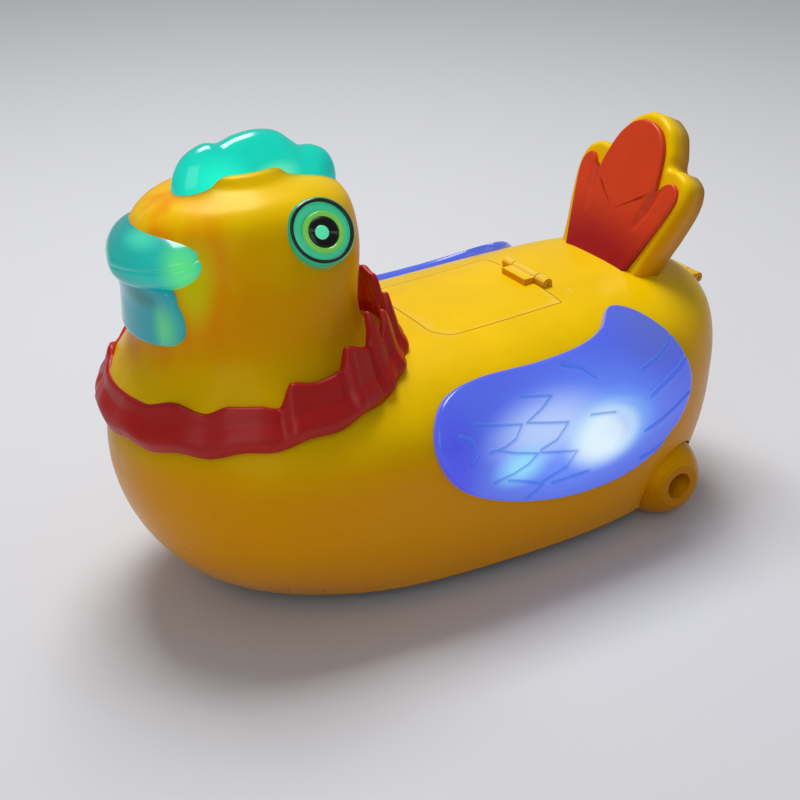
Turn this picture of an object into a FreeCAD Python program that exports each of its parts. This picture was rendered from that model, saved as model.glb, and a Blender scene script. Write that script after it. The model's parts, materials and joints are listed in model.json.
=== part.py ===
"""A battery-driven toy hen that rolls, lights up and lays eggs through a flap under its tail.

Millimetres. +X is forward (the beak), +Y is the hen's left, +Z is up. The origin is on the
floor, under the middle of the toy. The driving sizes are in the spreadsheet "Sizes"; each
sub-part is one object of the document, whose Label names its file in parts/.
"""
import FreeCAD, Part
import math
import os

import Sketcher
from FreeCAD import Placement, Rotation, Vector

doc = FreeCAD.newDocument("RollingHen")

# ---------------------------------------------------------------- driving sizes
SIZES = {
    # hull: a bun-shaped shell, open underneath
    "half_length": 120.5,
    "chest_reach": 116.5,
    "half_width": 58.5,
    "back_height": 90.0,
    "rim_height": 7.0,
    "wall": 2.2,
    "seam_gap": 0.3,
    "pin_clearance": 0.06,
    # head, beak and collar
    "head_x": 68.8,
    "head_reach": 43.0,
    "head_top": 151.0,
    "neck_radius": 35.0,
    "neck_hole_gap": 0.4,
    "beak_reach": 18.2,
    "beak_half_width": 24.5,
    "beak_half_height": 12.0,
    "wattle_reach": 13.7,
    "wattle_half_width": 19.5,
    "wattle_half_height": 11.5,
    "eye_radius": 11.0,
    "eye_proud": 4.0,
    "pupil_radius": 6.4,
    "collar_radius": 51.7,
    "collar_wall": 3.0,
    "comb_half_thickness": 7.5,
    # wings
    "wing_proud": 3.0,
    "reflector_depth": 7.8,
    # hatch on the back and flap at the rear
    "hatch_front": 8.0,
    "hatch_rear": -44.0,
    "hatch_half_width": 24.0,
    "flap_radius": 18.0,
    "flap_height": 57.0,
    "hinge_pin_radius": 0.8,
    "knuckle_radius": 2.0,
    # tail
    "tail_x": -79.0,
    "tail_lean": 25.0,
    "tail_thickness": 10.0,
    # base plate
    "plate_bottom": 7.0,
    "plate_thickness": 2.5,
    "screw_radius": 1.2,
    "screw_head_radius": 2.9,
    # rear wheels
    "axle_x": -81.0,
    "axle_radius": 1.5,
    "wheel_radius": 16.0,
    "wheel_inner_y": 31.0,
    "wheel_width": 22.4,
    "hub_recess_radius": 5.2,
    "hub_recess_depth": 10.4,
    # steering turret with the drive inside
    "turret_x": 40.0,
    "turret_radius": 28.5,
    "turret_bottom": 3.4,
    "turret_top": 27.8,
    "turret_wall": 1.5,
    "turret_gap": 0.5,
    "drive_axle_back": 6.0,
    "drive_axle_radius": 1.0,
    "drive_wheel_radius": 12.0,
    "drive_wheel_width": 5.0,
    "drive_wheel_inner_y": 13.0,
    "gear_module": 0.6,
    "gear_face": 3.0,
    "motor_radius": 8.0,
    # batteries
    "cell_radius": 7.25,
    "cell_length": 50.5,
    "cell_pitch": 15.0,
    "bay_front": 4.0,
    "bay_half_width": 28.2,
    # egg chute
    "chute_radius": 18.0,
    "chute_wall": 1.6,
    "chute_front_height": 66.0,
    "chute_rear_height": 58.0,
}

sheet = doc.addObject("Spreadsheet::Sheet", "Sizes")
for row, (alias, amount) in enumerate(SIZES.items(), start=1):
    sheet.set("A%d" % row, alias)
    sheet.set("B%d" % row, str(amount))
    sheet.setAlias("B%d" % row, alias)
doc.recompute()


class Size:
    """A length that carries both its number and its spreadsheet expression."""

    def __init__(self, number, text):
        self.number = float(number)
        self.text = text

    def __float__(self):
        return self.number

    def __add__(self, other):
        other = as_size(other)
        return Size(self.number + other.number, "(%s + %s)" % (self.text, other.text))

    def __sub__(self, other):
        other = as_size(other)
        return Size(self.number - other.number, "(%s - %s)" % (self.text, other.text))

    def __mul__(self, other):
        other = as_size(other)
        return Size(self.number * other.number, "(%s * %s)" % (self.text, other.text))

    def __radd__(self, other):
        return as_size(other) + self

    def __rsub__(self, other):
        return as_size(other) - self

    def __rmul__(self, other):
        return as_size(other) * self

    def __neg__(self):
        return Size(-self.number, "(-1 * %s)" % self.text)


def as_size(amount):
    """Give a plain number the same form as a spreadsheet size."""
    if isinstance(amount, Size):
        return amount
    return Size(amount, "(%r)" % float(amount))


class Sheet:
    """The sheet's cells by alias: bound.wall is a Size, plain.wall a number."""

    def __init__(self, wrap):
        self.wrap = wrap

    def __getattr__(self, alias):
        number = float(sheet.get(alias))
        return Size(number, "Sizes." + alias) if self.wrap else number


bound = Sheet(True)
plain = Sheet(False)

# ---------------------------------------------------------------- building blocks
ALONG = {
    "x": Rotation(Vector(0, 0, 1), Vector(1, 0, 0)),
    "y": Rotation(Vector(0, 0, 1), Vector(0, 1, 0)),
    "z": Rotation(),
}
nodes = []


def bind(obj, prop, amount):
    """Tie one property to the spreadsheet."""
    obj.setExpression(prop, as_size(amount).text)


def put(obj, at, turn=None):
    """Place an object at a point given in sizes, turned by a rotation."""
    obj.Placement = Placement(Vector(*[float(v) for v in at]), turn or Rotation())
    for letter, amount in zip("xyz", at):
        bind(obj, "Placement.Base." + letter, amount)
    return obj


def rod(name, radius, length, at, along="z"):
    """A cylinder that starts at a point and runs along an axis."""
    obj = doc.addObject("Part::Cylinder", name)
    bind(obj, "Radius", radius)
    bind(obj, "Height", length)
    return put(obj, at, ALONG[along])


def block(name, low, high):
    """A box between two corners."""
    obj = doc.addObject("Part::Box", name)
    for prop, a, b in zip(("Length", "Width", "Height"), low, high):
        bind(obj, prop, as_size(b) - as_size(a))
    return put(obj, low)


def ball(name, radius, at):
    """A sphere."""
    obj = doc.addObject("Part::Sphere", name)
    bind(obj, "Radius", radius)
    return put(obj, at)


def computed(name, shape):
    """A shape made by a formula or a loft."""
    obj = doc.addObject("Part::Feature", name)
    obj.Shape = shape
    return obj


def join(name, *parts):
    """One solid, or one group of solids, out of several."""
    obj = doc.addObject("Part::MultiFuse", name)
    obj.Shapes = list(parts)
    return obj


def cut(name, base, *tools):
    """The base with each tool taken away."""
    obj = doc.addObject("Part::Cut", name)
    obj.Base = base
    obj.Tool = tools[0] if len(tools) == 1 else join(name + "_tools", *tools)
    return obj


def overlap(name, first, second):
    """What two shapes share."""
    obj = doc.addObject("Part::Common", name)
    obj.Base = first
    obj.Tool = second
    return obj


def mirrored(name, source):
    """The right-hand copy of a left-hand piece."""
    obj = doc.addObject("Part::Mirroring", name)
    obj.Source = source
    obj.Normal = Vector(0, 1, 0)
    return obj


def node(label, obj):
    """Name a finished sub-part."""
    obj.Label = label
    nodes.append(obj)
    return obj


def origin_plane(body, role):
    """One of a body's own origin planes."""
    for feature in body.Origin.OriginFeatures:
        if feature.Role == role:
            return feature
    raise ValueError(role)


def pin_point(sketch, index, across, up):
    """Fix the start of line number index at two sizes from the sketch's origin."""
    for kind, axis, amount in (("DistanceX", -2, across), ("DistanceY", -1, up)):
        amount = as_size(amount)
        if abs(amount.number) < 1e-9:
            sketch.addConstraint(Sketcher.Constraint("PointOnObject", index, 1, axis))
        else:
            rule = Sketcher.Constraint(kind, -1, 1, index, 1, amount.number)
            number = sketch.addConstraint(rule)
            sketch.setExpression("Constraints[%d]" % number, amount.text)


def outline_sketch(body, name, role, corners):
    """A closed polygon on an origin plane, every corner dimensioned from the sheet."""
    sketch = body.newObject("Sketcher::SketchObject", name)
    sketch.AttachmentSupport = (origin_plane(body, role), [""])
    sketch.MapMode = "FlatFace"
    points = [Vector(float(a), float(b), 0) for a, b in corners]
    count = len(points)
    for index in range(count):
        line = Part.LineSegment(points[index], points[(index + 1) % count])
        sketch.addGeometry(line, False)
    for index in range(count):
        sketch.addConstraint(Sketcher.Constraint("Coincident", index, 2, (index + 1) % count, 1))
    for index, (across, up) in enumerate(corners):
        pin_point(sketch, index, across, up)
    return sketch


def turned(label, profile, at=(0, 0, 0), along="z", turn=None):
    """A body revolved about its own Z axis from a half-section of (radius, height) corners."""
    body = doc.addObject("PartDesign::Body", label)
    sketch = outline_sketch(body, label + "_profile", "XZ_Plane", profile)
    spin = body.newObject("PartDesign::Revolution", label + "_spin")
    spin.Profile = sketch
    spin.ReferenceAxis = (sketch, ["V_Axis"])
    spin.Angle = 360
    sketch.Visibility = False
    return put(body, at, turn or ALONG[along])


def padded(label, corners, height, at=(0, 0, 0), along="z"):
    """A body padded upwards from a polygon on its XY plane."""
    body = doc.addObject("PartDesign::Body", label)
    sketch = outline_sketch(body, label + "_outline", "XY_Plane", corners)
    pad = body.newObject("PartDesign::Pad", label + "_pad")
    pad.Profile = sketch
    pad.Length = float(height)
    bind(pad, "Length", height)
    return put(body, at, ALONG[along])


def rectangle(half_x, half_y):
    """Corners of a rectangle about the origin."""
    return [(-half_x, -half_y), (half_x, -half_y), (half_x, half_y), (-half_x, half_y)]


# ---------------------------------------------------------------- hull
# Cross-sections from rear to chest: place along the half length, then half width, waist
# height, crown height and belly depth, as shares of the half width and the back height.
HULL_STATIONS = (
    (-1.000, 0.051, 0.689, 0.722, 0.033),
    (-0.983, 0.291, 0.667, 0.833, 0.267),
    (-0.934, 0.513, 0.633, 0.928, 0.489),
    (-0.834, 0.718, 0.594, 0.994, 0.689),
    (-0.660, 0.872, 0.556, 1.017, 0.867),
    (-0.394, 0.966, 0.544, 1.000, 0.956),
    (-0.046, 0.991, 0.556, 0.978, 0.933),
    (0.295, 1.000, 0.578, 0.972, 0.800),
    (0.537, 0.974, 0.611, 0.978, 0.667),
    (0.743, 0.855, 0.633, 0.956, 0.556),
    (0.889, 0.615, 0.644, 0.889, 0.400),
    (0.970, 0.342, 0.650, 0.789, 0.222),
    (1.000, 0.051, 0.656, 0.683, 0.033),
)
CROWN_POWER = 2.7
BELLY_POWER = 2.0
SECTION_POINTS = 24


def hull_loft(grow):
    """The hull's outside, moved out (or in, if negative) by an amount."""
    wires = []
    for along, width, waist, crown, belly in HULL_STATIONS:
        reach = plain.half_length if along < 0 else plain.chest_reach
        half = width * plain.half_width + grow
        middle = waist * plain.back_height
        rise = crown * plain.back_height - middle + grow
        fall = belly * plain.back_height + grow
        if min(half, rise, fall) < 0.5:
            continue
        points = []
        for step in range(SECTION_POINTS):
            angle = 2 * math.pi * step / SECTION_POINTS
            power = 2 / (CROWN_POWER if math.sin(angle) > 0 else BELLY_POWER)
            across = math.copysign(abs(math.cos(angle)) ** power, math.cos(angle))
            up = math.copysign(abs(math.sin(angle)) ** power, math.sin(angle))
            height = middle + up * (rise if up > 0 else fall)
            points.append(Vector(along * (reach + grow), half * across, height))
        curve = Part.BSplineCurve()
        curve.interpolate(Points=points, PeriodicFlag=True)
        wires.append(Part.Wire([curve.toShape()]))
    return Part.makeLoft(wires, True, False)


def hull(name, grow):
    """The hull as a document object, open below at the rim."""
    below = block(name + "_below", (-200, -100, -100), (200, 100, bound.rim_height))
    return cut(name, computed(name + "_loft", hull_loft(grow)), below)


hull_outer = hull("hull_outer", 0)
hull_inner = hull("hull_inner", -plain.wall)
hull_skin = cut("hull_skin", hull_outer, hull_inner)


def rounded_slab(name, low, high, radius):
    """A block with its upright edges rounded."""
    obj = doc.addObject("Part::Fillet", name)
    obj.Base = block(name + "_block", low, high)
    obj.Edges = [(edge, radius, radius) for edge in (1, 3, 5, 7)]
    return obj


# ---------------------------------------------------------------- base plate
plate_top = bound.plate_bottom + bound.plate_thickness
wheel_inner = bound.wheel_inner_y
wheel_outer = bound.wheel_inner_y + bound.wheel_width
base_screw_places = ((24.0, 38.0), (24.0, -38.0), (-52.0, 33.0), (-52.0, -33.0))
board_post_places = [(x, y) for x in (-27.0, 27.0) for y in (-26.0, 26.0)]
COLUMN_RADIUS = 3.5
BOARD_HEIGHT = 36.0
BAY_LENGTH = 46.0
BAY_DEPTH = 15.4
BAY_WALL = 1.8
BAY_ROOF = 1.6
SINK = 0.5
AXLE_POST_INNER = 25.5
AXLE_POST_WIDTH = 5.0
AXLE_POST_HALF = 4.5
BOARD_POST_RADIUS = 3.0
PILOT_PLAY = 0.02
PILOT_DEPTH = 8.0
SCREW_PLAY = 0.3
SCREW_SEAT = 1.5
COVER_BOSS_RADIUS = 3.6
COVER_BOSS_BACK = 4.5
COVER_BOSS_RISE = 10.0
WHEEL_ROOM = 2.0
GRILLE_RADIUS = 1.5
GRILLE_RING = 6.0
GRILLE_HOLES = 6
SPEAKER_X = -63.5
bay_rear = bound.bay_front - BAY_LENGTH
bay_top = plate_top + BAY_DEPTH


def make_base_plate():
    """The floor of the toy, with its battery bay, axle posts, board posts and openings."""
    inner = computed("plate_room", hull_loft(-plain.wall - plain.seam_gap))
    slab = block("plate_slab", (-112, -60, bound.plate_bottom), (110, 60, plate_top))
    plate = overlap("plate_blank", inner, slab)
    grown = [plate]
    bay_side = bound.bay_half_width + BAY_WALL
    grown.append(block("bay_box", (bay_rear - BAY_WALL, -bay_side, plate_top - SINK),
                       (bound.bay_front + BAY_WALL, bay_side, bay_top + BAY_ROOF)))
    for side, sign in (("left", 1), ("right", -1)):
        low, high = sorted((AXLE_POST_INNER * sign, (AXLE_POST_INNER + AXLE_POST_WIDTH) * sign))
        grown.append(block("axle_post_" + side, (bound.axle_x - AXLE_POST_HALF, low, plate_top - SINK),
                           (bound.axle_x + AXLE_POST_HALF, high, bound.wheel_radius + AXLE_POST_HALF)))
    for index, (x, y) in enumerate(board_post_places):
        grown.append(rod("board_post_%d" % index, BOARD_POST_RADIUS, BOARD_HEIGHT - plate_top + SINK,
                         (bound.turret_x + x, y, plate_top - SINK)))
    grown.append(rod("cover_boss", COVER_BOSS_RADIUS, COVER_BOSS_RISE,
                     (bay_rear - COVER_BOSS_BACK, 0, plate_top - SINK)))
    whole = join("plate_whole", *grown)

    holes = [block("bay_room", (bay_rear, -bound.bay_half_width, 0),
                   (bound.bay_front, bound.bay_half_width, bay_top)),
             rod("turret_hole", bound.turret_radius + bound.turret_gap + 0.3, 20,
                 (bound.turret_x, 0, 0)),
             block("cover_tab_room", (bay_rear - 8.4, -5.3, 0), (bay_rear + 1, 5.3, 8.6)),
             rod("cover_pilot", bound.screw_radius + PILOT_PLAY, 9, (bay_rear - COVER_BOSS_BACK, 0, 8.0)),
             rod("axle_bore", bound.axle_radius + PILOT_PLAY, 80,
                 (bound.axle_x, -40, bound.wheel_radius), "y"),
             block("switch_slot", (-62.0, 20.2, 0), (-50.0, 23.8, 20))]
    for side, sign in (("left", 1), ("right", -1)):
        low, high = sorted((29.5 * sign, 70.0 * sign))
        around = bound.wheel_radius + WHEEL_ROOM
        holes.append(block("wheel_room_" + side, (bound.axle_x - around, low, 0),
                           (bound.axle_x + around, high, plate_top)))
    for index, (x, y) in enumerate(base_screw_places):
        holes.append(rod("screw_hole_%d" % index, bound.screw_radius + SCREW_PLAY, 10, (x, y, 3)))
        holes.append(rod("screw_seat_%d" % index, bound.screw_head_radius + SCREW_PLAY,
                         bound.plate_bottom + SCREW_SEAT, (x, y, 0)))
    for index, (x, y) in enumerate(board_post_places):
        holes.append(rod("board_pilot_%d" % index, bound.screw_radius + PILOT_PLAY, PILOT_DEPTH,
                         (bound.turret_x + x, y, BOARD_HEIGHT - PILOT_DEPTH + 0.1)))
    for index in range(GRILLE_HOLES):
        angle = 2 * math.pi * index / GRILLE_HOLES
        across, up = GRILLE_RING * math.cos(angle), GRILLE_RING * math.sin(angle)
        holes.append(rod("grille_%d" % index, GRILLE_RADIUS, 10, (SPEAKER_X + across, up, 3)))
    holes.append(rod("grille_middle", GRILLE_RADIUS, 10, (SPEAKER_X, 0, 3)))
    return node("base_plate", cut("base_plate", whole, *holes))


make_base_plate()


SCREW_HEAD = 1.4
SLOT_HALF_LENGTH = 1.8
SLOT_HALF_WIDTH = 0.4


def screw(label, at, length):
    """A pan-head screw standing on its head, as it is driven from below."""
    profile = [(0, 0), (bound.screw_head_radius, 0), (bound.screw_head_radius, 1.0),
               (bound.screw_head_radius - 0.5, SCREW_HEAD), (bound.screw_radius, SCREW_HEAD),
               (bound.screw_radius, length - 1), (0, length)]
    shank = turned(label + "_shank", profile, at)
    socket = block(label + "_slot", (at[0] - SLOT_HALF_LENGTH, at[1] - SLOT_HALF_WIDTH, at[2] - 1),
                   (at[0] + SLOT_HALF_LENGTH, at[1] + SLOT_HALF_WIDTH, at[2] + 0.6))
    return cut(label, shank, socket)


node("base_screws", join("base_screws", *[
    screw("base_screw_%d" % index, (x, y, bound.plate_bottom + 0.1), 13.0)
    for index, (x, y) in enumerate(base_screw_places)]))

# ---------------------------------------------------------------- rear axle and wheels
WHEEL_PROFILE = ((0.00, 0.74), (0.06, 0.86), (0.16, 0.955), (0.30, 1.00), (0.44, 1.00),
                 (0.60, 0.955), (0.75, 0.86), (0.88, 0.74), (0.96, 0.62), (1.00, 0.52))


def make_wheel(side, sign):
    """A ball-like wheel that turns freely on the fixed axle."""
    bore = bound.axle_radius + bound.pin_clearance
    web = bound.wheel_width - bound.hub_recess_depth
    profile = [(bound.wheel_radius * share, bound.wheel_width * along)
               for along, share in WHEEL_PROFILE]
    profile += [(bound.hub_recess_radius, bound.wheel_width), (bound.hub_recess_radius, web),
                (bore, web), (bore, 0)]
    turn = Rotation(Vector(0, 0, 1), Vector(0, sign, 0))
    place = (bound.axle_x, sign * wheel_inner, bound.wheel_radius)
    return node("rear_wheel_" + side, turned("rear_wheel_" + side, profile, place, turn=turn))


make_wheel("left", 1)
make_wheel("right", -1)
axle_half = wheel_outer - bound.hub_recess_depth + 3.5
node("rear_axle", rod("rear_axle", bound.axle_radius, 2 * axle_half,
                      (bound.axle_x, -axle_half, bound.wheel_radius), "y"))


def axle_cap(label, sign):
    """A push-on cap in the wheel's hub recess."""
    turn = Rotation(Vector(0, 0, 1), Vector(0, sign, 0))
    bore = bound.axle_radius + 0.01
    profile = [(bore, 0), (4.0, 0), (4.0, 0.8), (2.9, 1.8), (bore, 1.8)]
    at = (bound.axle_x, sign * (wheel_outer - bound.hub_recess_depth + 0.5), bound.wheel_radius)
    return turned(label, profile, at, turn=turn)


node("axle_caps", join("axle_caps", axle_cap("axle_cap_left", 1), axle_cap("axle_cap_right", -1)))

# ---------------------------------------------------------------- steering turret
turret_z = bound.turret_bottom
drive_x = bound.turret_x - bound.drive_axle_back
drive_z = bound.drive_wheel_radius
drive_wheel_outer = bound.drive_wheel_inner_y + bound.drive_wheel_width
FLANGE_RISE = 0.3
FLANGE_THICK = 1.6


def make_turret():
    """The cup that holds the drive and turns freely about the upright axis."""
    outer = bound.turret_radius
    inner = bound.turret_radius - bound.turret_wall
    floor = bound.turret_wall
    tall = bound.turret_top - bound.turret_bottom
    low = plate_top - bound.turret_bottom + FLANGE_RISE
    profile = [(0, 0), (outer - 1.2, 0), (outer, 1.2), (outer, low), (outer + 2.0, low),
               (outer + 2.0, low + FLANGE_THICK), (outer, low + FLANGE_THICK), (outer, tall),
               (inner, tall), (inner, floor), (0, floor)]
    cup = turned("turret_cup", profile, (bound.turret_x, 0, turret_z))
    rib_left = block("rib_left", (drive_x - 4.5, 2.6, turret_z + 1), (drive_x + 9.0, 4.6, drive_z + 11))
    rib_right = block("rib_right", (drive_x - 4.0, -12.4, turret_z + 1), (drive_x + 4.0, -10.4, drive_z + 4))
    cradle = block("motor_cradle", (drive_x + 11.4, -11.5, turret_z + 1),
                   (drive_x + 23.4, 3.8, drive_z - 2.5))
    cup = join("turret_solid", cup, rib_left, rib_right, cradle)
    wheel_room = bound.drive_wheel_radius + 1.2
    holes = [rod("drive_bore", bound.drive_axle_radius + 0.05, 20, (drive_x, -14, drive_z), "y"),
             rod("idler_bore", 0.81, 4, (idler_x, 1.6, idler_z), "y"),
             rod("motor_room", bound.motor_radius + 0.05, 20, (motor_x, -15, motor_z), "y")]
    for side, sign in (("left", 1), ("right", -1)):
        start = bound.drive_wheel_inner_y - 0.6 if sign > 0 else -drive_wheel_outer - 0.6
        holes.append(rod("drive_wheel_room_" + side, wheel_room, bound.drive_wheel_width + 1.2,
                         (drive_x, start, drive_z), "y"))
    return node("turret_housing", cut("turret_housing", cup, *holes))


# gear train: drive axle, idler with two rings of teeth, motor
AXLE_TEETH = 20
IDLER_SMALL_TEETH = 12
IDLER_LARGE_TEETH = 24
PINION_TEETH = 12
PRESSURE_ANGLE = math.radians(25)
GEAR_BACKLASH = 0.12
MOTOR_DIRECTION = math.radians(-10)
first_reach = bound.gear_module * ((AXLE_TEETH + IDLER_SMALL_TEETH) / 2)
second_reach = bound.gear_module * ((IDLER_LARGE_TEETH + PINION_TEETH) / 2)
idler_x = drive_x + first_reach * math.cos(math.radians(45))
idler_z = drive_z + first_reach * math.sin(math.radians(45))
motor_x = idler_x + second_reach * math.cos(MOTOR_DIRECTION)
motor_z = idler_z + second_reach * math.sin(MOTOR_DIRECTION)
first_y = bound.drive_wheel_inner_y - 7.8
second_y = first_y + bound.gear_face + 0.6
make_turret()


def gear_outline(teeth, start_angle):
    """Corners of an involute gear, with a tooth centred on the start angle."""
    module = plain.gear_module
    pitch = teeth * module / 2
    base = pitch * math.cos(PRESSURE_ANGLE)
    tip = pitch + 0.9 * module
    root = pitch - 1.2 * module

    def involute(angle):
        return math.tan(angle) - angle

    def half_angle(radius):
        lean = math.acos(min(1.0, base / radius))
        at_pitch = math.pi / (2 * teeth) - GEAR_BACKLASH / (4 * pitch)
        return at_pitch + involute(PRESSURE_ANGLE) - involute(lean)

    foot = max(root, base)
    rings = [foot + (tip - foot) * step / 4 for step in range(5)]
    corners = []
    for tooth in range(teeth):
        middle = start_angle + 2 * math.pi * tooth / teeth
        flank = [(root, half_angle(foot))] + [(radius, half_angle(radius)) for radius in rings]
        for radius, half in flank:
            corners.append((radius, middle - half))
        for radius, half in reversed(flank):
            corners.append((radius, middle + half))
    return [Vector(r * math.cos(a), r * math.sin(a), 0) for r, a in corners]


def gear_blank(name, teeth, start_angle, at, face):
    """A toothed wheel along +Y, from its polygon outline."""
    corners = gear_outline(teeth, start_angle)
    outline = Part.makePolygon(corners + corners[:1])
    obj = computed(name, Part.Face(outline).extrude(Vector(0, 0, float(face))))
    return put(obj, at, ALONG["y"])


def gear_direction(from_x, from_z, to_x, to_z):
    """The angle from one gear to the next, in the gear's own plane."""
    return math.atan2(-(float(to_z) - float(from_z)), float(to_x) - float(from_x))


def make_gears():
    """Axle gear, idler with two rings and motor pinion, each in mesh at rest."""
    face = bound.gear_face
    to_idler = gear_direction(drive_x, drive_z, idler_x, idler_z)
    to_motor = gear_direction(idler_x, idler_z, motor_x, motor_z)
    half_gap = math.pi / IDLER_SMALL_TEETH
    axle_wheel = gear_blank("axle_teeth", AXLE_TEETH, to_idler, (drive_x, first_y, drive_z), face)
    axle_hole = rod("axle_gear_bore", bound.drive_axle_radius + 0.01, 20,
                    (drive_x, first_y - 5, drive_z), "y")
    node("axle_gear", cut("axle_gear", axle_wheel, axle_hole))

    small = gear_blank("idler_small", IDLER_SMALL_TEETH, to_idler + math.pi + half_gap,
                       (idler_x, first_y, idler_z), face + 0.6)
    large = gear_blank("idler_large", IDLER_LARGE_TEETH, to_motor,
                       (idler_x, second_y, idler_z), face)
    idler_hole = rod("idler_gear_bore", 0.8 + bound.pin_clearance, 20,
                     (idler_x, first_y - 5, idler_z), "y")
    node("idler_gear", cut("idler_gear", join("idler_rings", small, large), idler_hole))
    node("idler_pin", rod("idler_pin", 0.8, 10.2, (idler_x, 1.8, idler_z), "y"))

    pinion = gear_blank("pinion_teeth", PINION_TEETH, to_motor + math.pi + math.pi / PINION_TEETH,
                        (motor_x, second_y, motor_z), face)
    shaft_hole = rod("pinion_bore", 0.81, 20, (motor_x, second_y - 5, motor_z), "y")
    node("motor_pinion", cut("motor_pinion", pinion, shaft_hole))
    node("motor_shaft", rod("motor_shaft", 0.8, 22.0, (motor_x, second_y + face - 21.5, motor_z), "y"))


make_gears()
node("drive_axle", rod("drive_axle", bound.drive_axle_radius, 2 * drive_wheel_outer,
                       (drive_x, -drive_wheel_outer, drive_z), "y"))


def make_drive_wheel(side, sign):
    """A driven wheel pressed on the axle, with a groove for its rubber tyre."""
    rim = bound.drive_wheel_radius
    wide = bound.drive_wheel_width
    bore = bound.drive_axle_radius + 0.01
    start = bound.drive_wheel_inner_y if sign > 0 else -drive_wheel_outer
    at = (drive_x, start, drive_z)
    hub = [(bore, 0), (rim - 0.6, 0), (rim - 0.6, 0.8), (rim - 1.8, 0.8), (rim - 1.8, wide - 0.8),
           (rim - 0.6, wide - 0.8), (rim - 0.6, wide), (bore, wide)]
    node("drive_wheel_" + side, turned("drive_wheel_" + side, hub, at, "y"))
    band = [(rim - 1.78, 0.85), (rim - 0.3, 0.85), (rim, 1.4), (rim, wide - 1.4),
            (rim - 0.3, wide - 0.85), (rim - 1.78, wide - 0.85)]
    node("drive_tyre_" + side, turned("drive_tyre_" + side, band, at, "y"))


make_drive_wheel("left", 1)
make_drive_wheel("right", -1)

motor_rear = bound.drive_wheel_inner_y - 25.5
motor_can = rod("motor_can", bound.motor_radius, 17.3, (motor_x, motor_rear, motor_z), "y")
motor_bore = rod("motor_bore", 0.85, 30, (motor_x, motor_rear - 5, motor_z), "y")
node("drive_motor", cut("drive_motor", motor_can, motor_bore))

lid_profile = [(0, 0), (bound.turret_radius, 0), (bound.turret_radius, 1.5), (0, 1.5)]
node("turret_lid", turned("turret_lid", lid_profile, (bound.turret_x, 0, bound.turret_top)))
ring_z = bound.turret_top + 1.5
slip_rings = [turned("slip_ring_%d" % index, [(r, 0), (r + 2, 0), (r + 2, 0.5), (r, 0.5)],
                     (bound.turret_x, 0, ring_z)) for index, r in enumerate((5.0, 10.0))]
node("slip_rings", join("slip_rings", *slip_rings))

keeper_in = bound.turret_radius + bound.turret_gap
keeper = [(keeper_in + 2.2, 0), (keeper_in + 5.0, 0), (keeper_in + 5.0, 3.8), (keeper_in, 3.8),
          (keeper_in, 2.3), (keeper_in + 2.2, 2.3)]
node("turret_keeper", turned("turret_keeper", keeper, (bound.turret_x, 0, plate_top)))

# ---------------------------------------------------------------- batteries and cover
cover_top = bound.plate_bottom + 1.6


def make_batteries():
    """Three AA cells side by side, their cover, its screw and the contacts."""
    cells = []
    middle = (bound.bay_front + bay_rear) * 0.5
    z = cover_top + 0.1 + bound.cell_radius
    for index in (-1, 0, 1):
        at = middle + index * bound.cell_pitch
        cells.append(rod("cell_%d" % (index + 1), bound.cell_radius, bound.cell_length - 1.5,
                         (at, -0.5 * bound.cell_length, z), "y"))
        cells.append(rod("cell_button_%d" % (index + 1), 2.6, 1.6,
                         (at, 0.5 * bound.cell_length - 1.55, z), "y"))
    node("batteries", join("batteries", *cells))

    springs = []
    plates = []
    for index in (-1, 0, 1):
        at = middle + index * bound.cell_pitch
        near = -bound.bay_half_width
        springs.append(turned("spring_%d" % (index + 1),
                              [(2.2, 0), (4.4, 0), (3.2, 2.25), (1.6, 2.25)],
                              (at, near + 0.65, z), "y"))
        plates.append(block("contact_rear_%d" % (index + 1), (at - 5, near + 0.05, z - 5.5),
                            (at + 5, near + 0.6, z + 5.5)))
        plates.append(block("contact_front_%d" % (index + 1),
                            (at - 5, bound.bay_half_width - 0.6, z - 5.5),
                            (at + 5, bound.bay_half_width - 0.05, z + 5.5)))
    node("battery_springs", join("battery_springs", *springs))
    node("battery_contacts", join("battery_contacts", *plates))


def make_battery_cover():
    """The cover, with a tab for its screw and a ribbed finger patch."""
    gap = bound.seam_gap
    panel = block("cover_panel", (bay_rear + gap, -(bound.bay_half_width - gap), bound.plate_bottom),
                  (bound.bay_front - gap, bound.bay_half_width - gap, cover_top))
    tab = block("cover_tab", (bay_rear - 8.1, -5.0, bound.plate_bottom),
                (bay_rear + 2, 5.0, cover_top - 0.05))
    hole = rod("cover_hole", bound.screw_radius + 0.3, 10, (bay_rear - 4.5, 0, 3))
    grooves = [block("cover_groove_%d" % index,
                     (bound.bay_front - 8 - 2.4 * index, -9, bound.plate_bottom - 1),
                     (bound.bay_front - 7 - 2.4 * index, 9, bound.plate_bottom + 0.5))
               for index in range(4)]
    node("battery_cover", cut("battery_cover", join("cover_whole", panel, tab), hole, *grooves))
    node("cover_screw", screw("cover_screw", (bay_rear - 4.5, 0, bound.plate_bottom - 1.4), 10.0))


make_batteries()
make_battery_cover()

# ---------------------------------------------------------------- electrics
speaker_profile = [(0, 0), (3.5, 0), (9.5, 1.2), (13.0, 1.2), (13.0, 2.4), (11.0, 3.4), (7.0, 6.2),
                   (6.0, 6.2), (6.0, 8.6), (0, 8.6)]
node("speaker", turned("speaker", speaker_profile, (SPEAKER_X, 0, plate_top)))

switch_frame = block("switch_frame", (-63.0, 19.0, plate_top), (-49.0, 25.0, plate_top + 5.0))
switch_room = block("switch_room", (-61.8, 20.2, plate_top - 1), (-50.2, 23.8, plate_top + 3.8))
node("switch_body", cut("switch_body", switch_frame, switch_room))
switch_knob = block("switch_knob", (-61.4, 20.5, 5.2), (-55.4, 23.5, plate_top + 3.5))
node("power_switch", switch_knob)


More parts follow.
